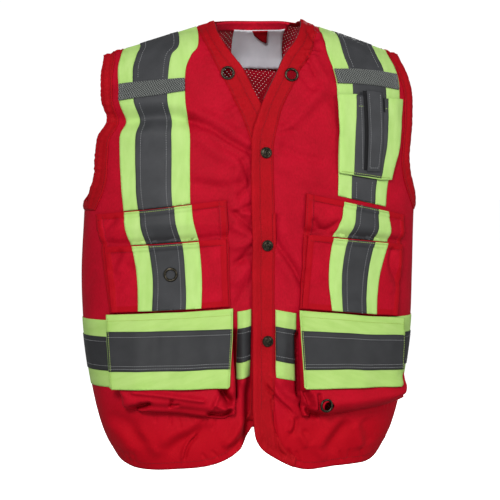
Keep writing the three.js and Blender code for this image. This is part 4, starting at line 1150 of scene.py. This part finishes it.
# ------------------------------------------------------------------ patch pockets
POCKET = {
    "r": dict(top=[(-230, -267), (-54.5, -245)], second=[(-222, -313), (-52.5, -301)], bottom=[(-214, -408), (-48, -398.5)]),
    "l": dict(top=[(217, -269), (60, -236)], second=[(216, -311), (60, -295)], bottom=[(207, -418), (52, -402)]),
}
TAPE_BC = {
    "r": dict(b=[(-193.5, -173.4, -127, -103.2), (-186, -165.2, -118.3, -94)], c=[(-182.5, -161, -116.8, -94), (-176, -156.5, -112, -90)]),
    "l": dict(b=[(116, 134, 168, 186), (100.5, 122.5, 162.5, 187)], c=[(99.5, 119.5, 161, 182.5), (99, 114.5, 150.5, 167.5)]),
}
FLAP = {
    "r": dict(top=[(-216, -410.5), (-45, -401)], bottom=[(-201, -512.5), (-51.5, -511.5)], silver=[(-433, -428), (-488, -484)]),
    "l": dict(top=[(211, -420.5), (50.5, -404)], bottom=[(196, -516), (51.5, -513.5)], silver=[(-443.5, -432.5), (-492, -486.5)]),
}


def lerp(p, q, x):
    return p[1] + (q[1] - p[1]) * (x - p[0]) / (q[0] - p[0])


def puff(k, high):
    (o, _), (i, _) = k["top"]
    mid, half, foot = (o + i) / 2, abs(i - o) / 2, k["bottom"][0][1]

    def f(x, z):
        return high * np.maximum(1 - ((x - mid) / half) ** 2, 0) * (0.35 + 0.65 * np.clip((z - foot) / 150, 0, 1))
    return f


def flap_stand(z):
    return 4.2 + 23 * np.clip((-402 - z) / 112, 0, 1) ** 0.85


def hemmed(edge_at, wide, high):
    """A turned, stitched strip along an edge: raised, with a groove where it is sewn."""
    def f(at):
        r = apart(at, edge_at)
        return high * (1 - smooth((r - wide + 1.2) / 2.4)) - 1.2 * np.exp(-(((r - wide - 1.0) / 1.7) ** 2))
    return f


STITCH = {"red": [], "grey": [], "lime": [], "olive": []}


def sew(kind, points, side, off, layer="p", back=False, smooth_line=False, pitch=3.3):
    STITCH[kind].append((np.asarray(curve(points) if smooth_line else line(points), float), side, off, layer, back, pitch))


for s in "rl":
    side, k, t, sg = WORD[s], POCKET[s], TAPE_BC[s], (-1 if s == "r" else 1)
    lift = over if s == "l" else (lambda x: 0.0 * x)
    f1, f2 = puff(k, 5.0), puff(k, 8.0)
    (to, ti), (so, si), (bo, bi) = k["top"], k["second"], k["bottom"]
    edges = {n: flatten(wobble(line(p), 0.7), True) for n, p in (("mouth", [to, ti]), ("outer", [to, bo]), ("inner", [ti, bi]))}
    strips = [hemmed(edges["mouth"], 9.0, 1.5), hemmed(edges["outer"], 9.0, 2.2), hemmed(edges["inner"], 12.0, 2.4)]

    def upper(d, rich=True, lift=lift, f1=f1, strips=strips, so=so, si=si):
        def f(x, z, at):
            second = lerp(so, si, x)
            sink = -4.2 * np.exp(-(((z - second - 3) / 6.0) ** 2)) - 1.0 * smooth((second - z) / 8)
            return d + lift(x) + f1(x, z) + sink + (np.max([g(at) for g in strips], 0) if rich else 0)
        return f

    cloth(f"upper_pocket_{side}_cloth", f"upper_pocket_{side}", RED_TIER, line([to, ti, bi, bo, to])[:-1], s,
          upper(1.0, False), upper(2.0), 1.9, 6.0, "1")
    inset = 3 if s == "r" else -3
    q = [(so[0] + inset, so[1]), (si[0] - inset, si[1]), (bi[0] - inset, bi[1] + 1), (bo[0] + inset, bo[1] + 1)]
    e2 = {n: flatten(wobble(line(p), 0.7), True) for n, p in (("mouth", q[:2]), ("outer", [q[0], q[3]]), ("inner", [q[1], q[2]]))}
    strips2 = [hemmed(e2["mouth"], 9.0, 1.6), hemmed(e2["outer"], 8.0, 1.8), hemmed(e2["inner"], 9.0, 1.8)]

    def lower(d, rich=True, lift=lift, f2=f2, strips2=strips2):
        return lambda x, z, at: d + lift(x) + f2(x, z) + (np.max([g(at) for g in strips2], 0) if rich else 0)

    cloth(f"lower_pocket_{side}_cloth", f"lower_pocket_{side}", RED_TIER, line(q + q[:1])[:-1], s,
          lower(2.6, False), lower(3.6), 1.9, 6.0, "2")
    for tag, off, d, (up, low), z0, z1, lay in (
            ("upper", upper, 2.4, t["b"], lambda x: lerp(to, ti, x) - 0.8, lambda x: lerp(so, si, x) + 0.8, "1"),
            ("lower", lower, 4.0, t["c"], lambda x: lerp(so, si, x) - 0.8, lambda x: lerp(bo, bi, x) + 1.8, "2")):
        bow = {("r", "upper"): -2.0, ("r", "lower"): 2.5, ("l", "upper"): 3.0, ("l", "lower"): -5.0}[s, tag]

        def edge(i, up=up, low=low, z0=z0, z1=z1, bow=bow):
            a, b = np.array([up[i], z0(up[i])]), np.array([low[i], z1(low[i])])
            k = np.linspace(0, 1, 9)[:, None]
            p = a + (b - a) * k
            p[:, 0] += bow * np.sin(k[:, 0] * math.pi)
            return curve(p)

        cloth(f"pocket_tape_{tag}_{side}_cloth", f"pocket_tape_{tag}_{side}", LIME, np.concatenate([edge(0), edge(3)[::-1]]), s,
              off(d), off(d + 0.9), 2.1, 6.0, lay, size=0.5)
        cloth(f"pocket_tape_{tag}_silver_{side}_cloth", f"pocket_tape_{tag}_silver_{side}", SILVER_POCKET_SHADED, np.concatenate([edge(1), edge(2)[::-1]]), s,
              off(d + 1.0), off(d + 1.9), 2.1, 6.0, lay, size=0.5)
        for i, g in ((1, 7.0), (2, -7.0)):
            e = edge(i)
            sew("grey", e + np.array([g, 0]), s, off(d + 1.95), lay)
        e = edge(0), edge(3)
        sew("lime", [(e[0][0] + e[1][0] * 0)[:2] + np.array([0, -2.2]), e[1][0] + np.array([0, -2.2])], s, off(d + 1.95), lay)
    # sewn lines of the patches
    sew("red", [(to[0] - sg * 8.5, to[1] - 3), (bo[0] - sg * 8.5, bo[1])], s, upper(2.05), "1")
    sew("red", [(to[0] - sg * 2, to[1] - 2), (bo[0] - sg * 2, bo[1])], s, upper(2.05), "1")
    sew("red", [(ti[0] + sg * 10.5, ti[1] - 3), (bi[0] + sg * 10.5, bi[1])], s, upper(2.05), "1")
    sew("red", [(ti[0] + sg * 2, ti[1] - 2), (bi[0] + sg * 2, bi[1])], s, upper(2.05), "1")
    sew("red", [(to[0] - sg * 3, to[1] - 8.6), (ti[0] + sg * 3, ti[1] - 8.6)], s, upper(2.05), "1")
    sew("red", [(q[0][0] - sg * 3, q[0][1] - 8.6), (q[1][0] + sg * 3, q[1][1] - 8.6)], s, lower(3.65), "2")

    # flap
    fl = FLAP[s]

    def hang(d, lift=lift, fl=fl):
        (o, _), (i, _) = fl["bottom"]

        def f(x, z, at):
            k = np.clip((-402 - z) / 112, 0, 1)
            tip = np.exp(-((x - o) / 14) ** 2) + np.exp(-((x - i) / 14) ** 2)
            wave = 1.4 * np.sin(x / 17.0 + 0.8) * k + 0.8 * np.sin(x / 9.5) * k**3
            return d + lift(x) + flap_stand(z) + wave + 1.0 - 0.8 * tip * k**3
        return f

    (fo, fi), (go, gi) = fl["top"], fl["bottom"]
    c = 3.0
    low_edge = [(gi[0] + sg * 0.0, gi[1] + c), (gi[0] + sg * c, gi[1]), (go[0] - sg * c, go[1]), (go[0], go[1] + c)]
    cloth(f"flap_{side}_cloth", f"flap_{side}", LIME_FLAP_SHADED, line([(fo[0], fo[1] + 0.8), (fi[0], fi[1] + 0.8)] + low_edge + [(fo[0], fo[1] + 0.8)])[:-1], s,
          hang(0.0), hang(1.1), 2.0, 5.0, "f", size=0.8)

    def row(i, g=0.0, fl=fl, fo=fo, fi=fi, go=go, gi=gi, sg=sg):
        """The two ends of an edge of the strip, just inside the flap's slanted sides."""
        zo, zi = fl["silver"][i][0] + g, fl["silver"][i][1] + g
        return np.array([(fo[0] + (go[0] - fo[0]) * (zo - fo[1]) / (go[1] - fo[1]) - sg * 1.0, zo),
                         (fi[0] + (gi[0] - fi[0]) * (zi - fi[1]) / (gi[1] - fi[1]) + sg * 1.1, zi)])

    cloth(f"flap_silver_{side}_cloth", f"flap_silver_{side}", SILVER_SHADED, line(np.concatenate([row(0), row(1)[::-1], row(0)[:1]]))[:-1], s,
          hang(1.3), hang(2.2), 2.0, 5.0, "f", size=0.8)
    for i, g in ((0, -7.5), (1, 7.5), (1, 3.5)):
        sew("grey", row(i, g), s, hang(2.25), "f")
    sew("olive", [(fo[0] - sg * 2, fo[1] - 8), (fi[0] + sg * 2, fi[1] - 8)], s, hang(1.15), "f")
    sew("lime", [(fo[0] - sg * 3.2, fo[1] - 3), (go[0] - sg * 2.6, go[1] + 3)], s, hang(2.3), "f")
    sew("lime", [(fi[0] + sg * 2.6, fi[1] - 3), (gi[0] + sg * 2.6, gi[1] + 3)], s, hang(2.3), "f")

    # cargo bag: its face stands off the panel and rounds over to it along the sides and the foot
    bag = ([(-202, -424), (-52, -416), (-46, -430), (-41, -545), (-53, -555), (-64, -557.5), (-120, -550), (-184, -545), (-194, -528)]
           if s == "r" else [(200, -432), (55, -420), (50, -434), (54, -550), (60, -557), (76, -557), (140, -551), (204, -541), (210, -527)])
    rim = np.concatenate([line(bag[1:3]), curve(bag[2:] + bag[:1])[1:]])
    rim_at = flatten(rim, True)

    def stand(d, lift=lift, rim_at=rim_at):
        def f(x, z, at):
            r = apart(at, rim_at)
            k = np.clip(r / (8.0 + 12.0 * smooth((-514 - z) / 14)), 0, 1)
            body = flap_stand(np.maximum(z, -516.0)) - 4.0 * smooth((z + 530) / 22)
            return d + lift(x) + 0.6 + (body - 0.6) * np.sqrt(np.maximum(1 - (1 - k) ** 2.2, 0))
        return f

    holes = [disc(*EYE_CARGO, 7.0)] if s == "l" else []
    cloth(f"cargo_pocket_{side}_cloth", f"cargo_pocket_{side}", RED_POCKET, np.concatenate([line(bag[:2]), rim[1:-1]]), s,
          stand(-1.1), stand(0.0), 1.7, 3.4, "c", holes=holes, size=0.5)

# ------------------------------------------------------------------ shoulder tabs and the tape pocket
TAB = {"r": [(-198.5, -80.5), (-150, -75.5), (-109, -72.5), (-109.5, -91), (-150, -97), (-198.5, -104.5)],
       "l": [(109, -57.5), (160, -58.5), (209.5, -64), (211, -86.5), (160, -80), (113, -78)]}
for s in "rl":
    b = TAB[s]
    cloth(f"shoulder_tab_{WORD[s]}_webbing", f"shoulder_tab_{WORD[s]}", WEB, np.concatenate([curve(b[:3]), curve(b[3:])]), s, const(2.6), const(4.3), 1.7, 5.0, size=0.3)


def bulge(x, z):
    return 6.0 * np.maximum(1 - ((x - 155) / 62) ** 2, 0) * np.maximum(1 - ((z + 150) / 90) ** 2, 0)


def pouch(d):
    def f(x, z, at):
        wing = 1.6 * np.exp(-((x - 118) / 9.0) ** 2) + 1.8 * np.exp(-((x - 202) / 9.0) ** 2)
        return d + bulge(x, z) + wing * smooth((z + 210) / 40)
    return f


radio = [(111, -94), (140, -94.5), (141, -97.5), (189, -102), (190, -99.5), (217, -100.5), (205, -165), (192, -217), (172, -217), (109.5, -207.5)]
cloth("radio_pocket_cloth", "radio_pocket", LIME, line(radio + radio[:1])[:-1], "l", pouch(2.7), pouch(4.0), 1.9, 5.0, size=0.5)
# The slits are thin black sheets on the pouch: painted shadow along the strap's edges, where the gaps are only shade.
def slit(name, outline, d0=5.05, d1=5.45):
    ob = cloth(name, None, SLIT_SHADOW, line(list(outline) + [outline[0]])[:-1], "l", pouch(d0), pouch(d1), 1.6, 4.0, size=0.2)
    return ob


slits = [slit("radio_slit_shadow_long", [(148.5, -90), (155, -90.5), (154, -150), (151.5, -204), (146, -203.5), (147.5, -150)]),
         slit("radio_slit_shadow_short", [(177.4, -100), (181.5, -100.5), (181, -121), (177.2, -120)])]
rs = [(139, -96), (188.5, -101), (183, -160), (173.5, -215), (131.5, -210), (134, -160)]
cloth("radio_pocket_silver_cloth", "radio_pocket_silver", SILVER, np.concatenate([line(rs[:2]), curve(rs[1:4])[1:], line(rs[3:5])[1:], curve([rs[4], rs[5], rs[0]])[1:-1]]), "l", pouch(4.1), pouch(5.0), 1.9, 5.0, size=0.5)
st = [(154, -89), (178, -92), (176, -150), (170.5, -206), (150.5, -206), (153, -150)]
cloth("radio_strap_cloth", "radio_strap", STRAP, np.concatenate([line(st[:2]), curve(st[1:4])[1:], line(st[3:5])[1:], curve([st[4], st[5], st[0]])[1:-1]]), "l", pouch(5.3), pouch(6.9), 1.7, 5.0, size=0.3)


# ------------------------------------------------------------------ stitches
for s in "rl":
    sg = 1 if s == "l" else -1
    e = tape_lines[s]
    for i, g in ((1, 7.0), (2, -7.0)):
        p = e[i]
        p = p[p[:, 1] < 4]
        if s == "l":
            p = p[(p[:, 1] > -56)]
        else:
            p = p[(p[:, 1] > -72) | (p[:, 1] < -106)]
        cut = np.flatnonzero(np.linalg.norm(np.diff(p, axis=0), axis=1) > 8)
        for q in np.split(p, cut + 1):
            if len(q) > 2:
                sew("grey", q + np.array([g, 0]), s, const(2.35))
    if s == "l":
        for i, g in ((1, 7.0), (2, -7.0)):
            p = e[i]
            sew("grey", p[p[:, 1] < -219] + np.array([g, 0]), s, const(2.35))
    x0, x1, d0, d1 = CENTRE[s]
    for z in (-449, -484):
        sew("grey", [(x0, z + d0), (x1, z + d1)], s, lifted(s, 2.35))
        a, b = (-245, -200) if s == "r" else (196, 245)
        sew("grey", [(a, z), (b, z)], s, const(2.35))
    # band, hem, binding
    b = band_edge[s]
    ok = b[(b[:, 1] < 8) & (b[:, 1] > -562)]
    at_in = 3.0
    g = np.gradient(ok, axis=0)
    g /= np.linalg.norm(g, axis=1, keepdims=True)
    nrm = np.stack([-g[:, 1], g[:, 0]], -1)
    toward = 1 if s == "r" else -1
    sew("red", ok + nrm * at_in * toward, s, lifted(s, 1.7))
    n = neck_edge[s]
    ok = n[(n[:, 1] < 4)] if s == "l" else n[(n[:, 1] < 4) & (n[:, 1] > -130)]
    g = np.gradient(ok, axis=0)
    g /= np.linalg.norm(g, axis=1, keepdims=True)
    nrm = np.stack([-g[:, 1], g[:, 0]], -1)
    sew("red", ok - nrm * 12.5 * toward, s, lifted(s, 1.75))
    h = hem_edge[s]
    h = h[(np.abs(h[:, 0]) < 208) & (h[:, 1] < -596)]
    g = np.gradient(h, axis=0)
    g /= np.linalg.norm(g, axis=1, keepdims=True)
    nrm = np.stack([-g[:, 1], g[:, 0]], -1)
    sew("red", h + nrm * 10.5 * (-1 if s == "r" else 1), s, lifted(s, 0.1))
    for back in (False, True):
        p = arm_edge(s, back, 11.2)
        p = p[(p[:, 1] < -8) & (np.abs(p[:, 0]) < 245)]
        sew("red", p, s, const(1.75), back=back)
sew("lime", [(140, -112), (151, -112.5)], "l", pouch(5.1))
sew("lime", [(182, -115), (189, -116)], "l", pouch(5.1))
sew("lime", [(112, -205), (132, -207.5), (172, -213), (190, -214)], "l", pouch(5.2))
sew("grey", [(144, -99), (144, -202)], "l", pouch(5.1))
sew("grey", [(157, -94), (156.5, -150), (154, -200)], "l", pouch(6.95))
sew("grey", [(174.5, -96), (172.5, -150), (167.5, -200)], "l", pouch(6.95))
sew("grey", [(154, -200.5), (167.5, -200.5)], "l", pouch(6.95))
for s in "rl":
    b = TAB[s]
    for k in (2.6, 5.6):
        for i, j, d in ((0, 5, k), (2, 3, -k)):
            sew("grey", [np.array(b[i]) + [d, -1.5], np.array(b[j]) + [d, 1.5]], s, const(4.4), pitch=2.6)
for z in (-449, -484):
    sew("grey", [(-236, z), (0, z), (236, z)], "r", const(2.35), back=True)
for sign, d in ((1, 0.0), (-1, 2.6)):
    for k in (18.4, -18.4):
        x0, z0, xc, zc = -142, 5, 6, -250
        dx, dz = xc - x0, zc - z0
        l = math.hypot(dx, dz)
        a = np.array([x0 - dz / l * k, z0 + dx / l * k])
        u = np.linspace(0.02, 2.6, 200)[:, None]
        p = a + np.array([dx, dz]) * u
        if sign < 0:
            p = np.stack([2 * xc - p[:, 0], p[:, 1]], -1)
        p = p[(p[:, 1] > -414) & (p[:, 0] > (-183 if sign > 0 else -236)) & (p[:, 0] < (236 if sign > 0 else 191))]
        sew("grey", p, "r", crossing(d, 2.35), back=True)
hb = curve([(236, -597), (150, -595), (60, -589), (0, -587), (-60, -589), (-150, -595), (-236, -597)])
sew("red", hb, "r", const(0.3), back=True)


def stitches(name, kind, mat, wide=0.62, tall=0.42, share=0.66):
    verts, faces = [], []
    base = np.array([(-0.5, -0.35, 0), (-0.5, 0.35, 0), (0.5, 0.35, 0), (0.5, -0.35, 0), (-0.32, -0.5, 1), (-0.32, 0.5, 1), (0.32, 0.5, 1), (0.32, -0.5, 1)], float)
    quads = np.array([(0, 1, 2, 3), (4, 7, 6, 5), (0, 4, 5, 1), (1, 5, 6, 2), (2, 6, 7, 3), (3, 7, 4, 0)])
    count = 0
    for path, side, off, layer, back, pitch in STITCH[kind]:
        at = flatten(wobble(spaced(path, 1.5), 0.6), not back)
        p = place(at, side, layer, back, off)
        k = along(p)
        n = int(k[-1] / pitch)
        if n < 1:
            continue
        mid = (np.arange(n) + 0.5) * k[-1] / n
        span = k[-1] / n * share
        c = [np.stack([np.interp(mid + d * span, k, p[:, i]) for i in range(3)], -1) for d in (-0.5, 0.0, 0.5)]
        atm = np.stack([np.interp(mid, k, at[:, i]) for i in range(2)], -1)
        nrm = form_normal(atm[:, 0], atm[:, 1])
        tan = c[2] - c[0]
        length = np.linalg.norm(tan, axis=1, keepdims=True)
        tan = tan / np.maximum(length, 1e-6)
        nrm = nrm - tan * (nrm * tan).sum(1, keepdims=True)
        nrm /= np.maximum(np.linalg.norm(nrm, axis=1, keepdims=True), 1e-6)
        side_v = np.cross(nrm, tan)
        v = (c[1][:, None, :] + base[None, :, 0:1] * length[:, None, :] * tan[:, None, :] + base[None, :, 1:2] * wide * side_v[:, None, :]
             + (base[None, :, 2:3] * tall - 0.08) * nrm[:, None, :])
        verts.append(v.reshape(-1, 3))
        faces.append((quads[None] + 8 * np.arange(n)[:, None, None]).reshape(-1, 4) + count)
        count += 8 * n
    ob = new_object(name, np.concatenate(verts), np.concatenate(faces), mat=mat)
    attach(ob, "root")
    return ob


stitches("stitches_red", "red", T_RED, 0.7, 0.4)
stitches("stitches_grey", "grey", T_GREY, 0.75, 0.4)
stitches("stitches_lime", "lime", T_LIME, 0.8, 0.4)
stitches("stitches_olive", "olive", T_OLIVE, 0.7, 0.35)


# ------------------------------------------------------------------ cord along the neck edge
def tube(name, mat, path, side, off, radius, sides=6):
    at = flatten(wobble(spaced(path, 2.2), 0.7), True)
    at = at[at[:, 1] > SEAM + 1]
    p = place(at, side, "p", False, off)
    tan = np.gradient(p, axis=0)
    tan /= np.linalg.norm(tan, axis=1, keepdims=True)
    n = form_normal(at[:, 0], at[:, 1])
    n = n - tan * (n * tan).sum(1, keepdims=True)
    n /= np.linalg.norm(n, axis=1, keepdims=True)
    b = np.cross(n, tan)
    k = np.linspace(0, 2 * math.pi, sides, endpoint=False)
    v = p[:, None] + radius * (np.cos(k)[None, :, None] * n[:, None] + np.sin(k)[None, :, None] * b[:, None])
    m = len(p)
    i, j = np.meshgrid(np.arange(m - 1), np.arange(sides), indexing="ij")
    q = np.stack([i * sides + j, i * sides + (j + 1) % sides, (i + 1) * sides + (j + 1) % sides, (i + 1) * sides + j], -1).reshape(-1, 4)
    verts = np.concatenate([v.reshape(-1, 3), p[:1], p[-1:]])
    caps = [(m * sides, (a + 1) % sides, a, a) for a in range(sides)] + [(m * sides + 1, (m - 1) * sides + a, (m - 1) * sides + (a + 1) % sides, (m - 1) * sides + (a + 1) % sides) for a in range(sides)]
    tri = np.concatenate([q[:, [0, 1, 2]], q[:, [0, 2, 3]], np.array(caps)[:, :3]])
    ob = new_object(name, verts, tri, mat=mat)
    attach(ob, "root")
    return ob


for s in "rl":
    n = neck_edge[s]
    tube(f"neck_edge_{WORD[s]}", PIPING, n[n[:, 1] > (-100 if s == "r" else -104)], s, lifted(s, -0.4), 0.75)


# ------------------------------------------------------------------ snaps and eyelets
def on_front(x, z, side, layer, off):
    """The point that a fitting's centre takes, and its normal."""
    bx, bz = x, z
    for _ in range(8):
        at = flatten([(bx, bz)], True)
        p = place(at, side, layer, False, off)[0]
        bx += x - p[0]
        bz += z - p[2]
    e = np.array([[4.0, 0], [-4.0, 0], [0, 4.0], [0, -4.0]])
    q = place(at + e, side, layer, False, off)
    n = np.cross(q[2] - q[3], q[0] - q[1])
    return p, n / np.linalg.norm(n)


def lathe(name, node, profile, x, z, side, layer, off, segments=56, mat=METAL):
    p, n = on_front(x, z, side, layer, off)
    up = np.array([0, 0, 1.0]) - n * n[2]
    up /= np.linalg.norm(up)
    across = np.cross(up, n)
    pr = np.array(profile, float)
    k = np.linspace(0, 2 * math.pi, segments, endpoint=False)
    ring = np.cos(k)[:, None] * across + np.sin(k)[:, None] * up
    v = (p + pr[:, 0][:, None, None] * ring[None] + pr[:, 1][:, None, None] * n).reshape(-1, 3)
    m = len(pr)
    closed = np.allclose(pr[0], pr[-1])
    quads = []
    for i in range(m - 1):
        for j in range(segments):
            a, b = i * segments + j, i * segments + (j + 1) % segments
            quads.append((a, b, b + segments, a + segments))
    ob = new_object(name, v, np.array(quads), mat=mat)
    import bmesh
    bm = bmesh.new()
    bm.from_mesh(ob.data)
    bmesh.ops.remove_doubles(bm, verts=bm.verts, dist=1e-6)
    bmesh.ops.dissolve_degenerate(bm, dist=1e-7, edges=bm.edges)
    bmesh.ops.recalc_face_normals(bm, faces=bm.faces)
    bm.to_mesh(ob.data)
    bm.free()
    ob.data.polygons.foreach_set("use_smooth", np.ones(len(ob.data.polygons), bool))
    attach(ob, "root")
    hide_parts(node)
    return ob


def arc(cx, cy, r, a0, a1, n):
    k = np.radians(np.linspace(a0, a1, n))
    return [(cx + r * math.cos(q), cy + r * math.sin(q)) for q in k]


CAP = [(0, -1.5), (6.0, -1.5), (7.2, -1.2)] + arc(7.2, 0.2, 0.9, -70, 80, 7) + [(6.6, 1.25), (6.1, 0.95), (5.6, 1.05), (4.6, 1.5), (3.2, 1.75), (2.7, 1.55), (2.2, 1.7), (1.0, 1.9), (0, 1.95)]
for node, x, z in (("snap_top", 2.7, -178), ("snap_middle", 4.1, -310.5), ("snap_bottom", 4.7, -447.5)):
    lathe(f"{node}_cap", node, CAP, x, z, "l", "p", lifted("l", 2.6), mat=METAL_DARK)
RING = arc(8.45, 0.1, 1.75, 0, 180, 13) + [(6.7, -2.4), (7.2, -2.4), (7.4, -0.4), (10.0, -0.4), (10.2, 0.1)]
lathe("eyelet_neck_right_ring", "eyelet_neck_right", RING, *EYE_NECK["r"], "r", "p", lifted("r", 2.2))
lathe("eyelet_neck_left_ring", "eyelet_neck_left", RING, *EYE_NECK["l"], "l", "p", lifted("l", 2.2))
_low = puff(POCKET["r"], 8.0)
lathe("eyelet_pocket_tape_ring", "eyelet_pocket_tape", arc(8.3, 0.1, 1.9, 0, 180, 13) + [(6.4, -0.4), (10.0, -0.4), (10.2, 0.1)], *EYE_TAPE, "r", "2", lambda x, z, at: 6.2 + _low(x, z))
lathe("eyelet_cargo_ring", "eyelet_cargo", arc(8.4, 0.1, 1.8, 0, 180, 13) + [(6.6, -2.0), (7.1, -2.0), (7.3, -0.4), (10.0, -0.4), (10.2, 0.1)], *EYE_CARGO, "l", "c",
      lambda x, z, at: over(x) + 0.3 + flap_stand(np.maximum(z, -516.0)) - 1.0)

# ------------------------------------------------------------------ floor, light, camera
me = bpy.data.meshes.new("floor")
me.from_pydata([(-40, -40, -1.05), (40, -40, -1.05), (40, 40, -1.05), (-40, 40, -1.05)], [], [(0, 1, 2, 3)])
floor = bpy.data.objects.new("floor", me)
bpy.context.scene.collection.objects.link(floor)
fm = bpy.data.materials.new("pale_floor")
fm.use_nodes = True
fm.node_tree.nodes["Principled BSDF"].inputs["Base Color"].default_value = (0.9, 0.9, 0.9, 1)
fm.node_tree.nodes["Principled BSDF"].inputs["Emission Color"].default_value = (1, 1, 1, 1)
fm.node_tree.nodes["Principled BSDF"].inputs["Emission Strength"].default_value = 0.75
fm.node_tree.nodes["Principled BSDF"].inputs["Roughness"].default_value = 0.95
me.materials.append(fm)
floor.visible_diffuse = floor.visible_glossy = False

AMBIENT = 0.30
world = bpy.data.worlds.new("studio")
bpy.context.scene.world = world
world.use_nodes = True
wt = world.node_tree
bg = wt.nodes["Background"]
bg.inputs[0].default_value = (1.0, 1.0, 1.0, 1)
seen = wt.nodes.new("ShaderNodeLightPath")
level_of = wt.nodes.new("ShaderNodeMapRange")
level_of.inputs["To Min"].default_value = AMBIENT
level_of.inputs["To Max"].default_value = 1.05
wt.links.new(seen.outputs["Is Camera Ray"], level_of.inputs["Value"])
wt.links.new(level_of.outputs[0], bg.inputs[1])


def lamp(name, where, size, power, aim=(0, 0, -0.32), colour=(1, 1, 1)):
    d = bpy.data.lights.new(name, "AREA")
    d.shape, d.size, d.energy, d.color = "DISK", size, power, colour
    o = bpy.data.objects.new(name, d)
    o.location = where
    o.rotation_mode = "QUATERNION"
    o.rotation_quaternion = (Vector(aim) - Vector(where)).to_track_quat("-Z", "Y")
    bpy.context.scene.collection.objects.link(o)
    return o


lamp("key", (-1.8, -4.4, 1.7), 1.2, 194)
lamp("second", (2.6, -3.6, 0.9), 1.2, 69)
lamp("low", (-0.2, -1.6, -0.98), 1.6, 9.0, (0, 0, -0.3))
lamp("side_right", (-3.2, -1.3, 0.1), 1.0, 12)
lamp("side_left", (3.2, -1.3, 0.1), 1.0, 13)
lamp("behind", (1.4, 4.2, 1.2), 1.4, 125)

cam = bpy.data.cameras.new("camera")
cam.lens, cam.sensor_width = 155.33, 36.0
cam.clip_start, cam.clip_end = 0.1, 200
eye_at = bpy.data.objects.new("camera", cam)
az, el, far, aim = math.radians(-11.0), math.radians(2.5), 3.2, Vector((0.003, 0, -0.322))
back_dir = Vector((math.sin(az) * math.cos(el), -math.cos(az) * math.cos(el), math.sin(el)))
eye_at.location = aim + back_dir * far
eye_at.rotation_mode = "QUATERNION"
eye_at.rotation_quaternion = (-back_dir).to_track_quat("-Z", "Y")
bpy.context.scene.collection.objects.link(eye_at)
bpy.context.scene.camera = eye_at
bpy.context.scene.view_settings.view_transform = "Standard"

total = sum(n for _, n in stats)
print("seconds", round(time.time() - began, 1), "pieces", len(stats), "triangles", total, "largest", sorted(stats, key=lambda r: -r[1])[:4])
bpy.context.view_layer.update()
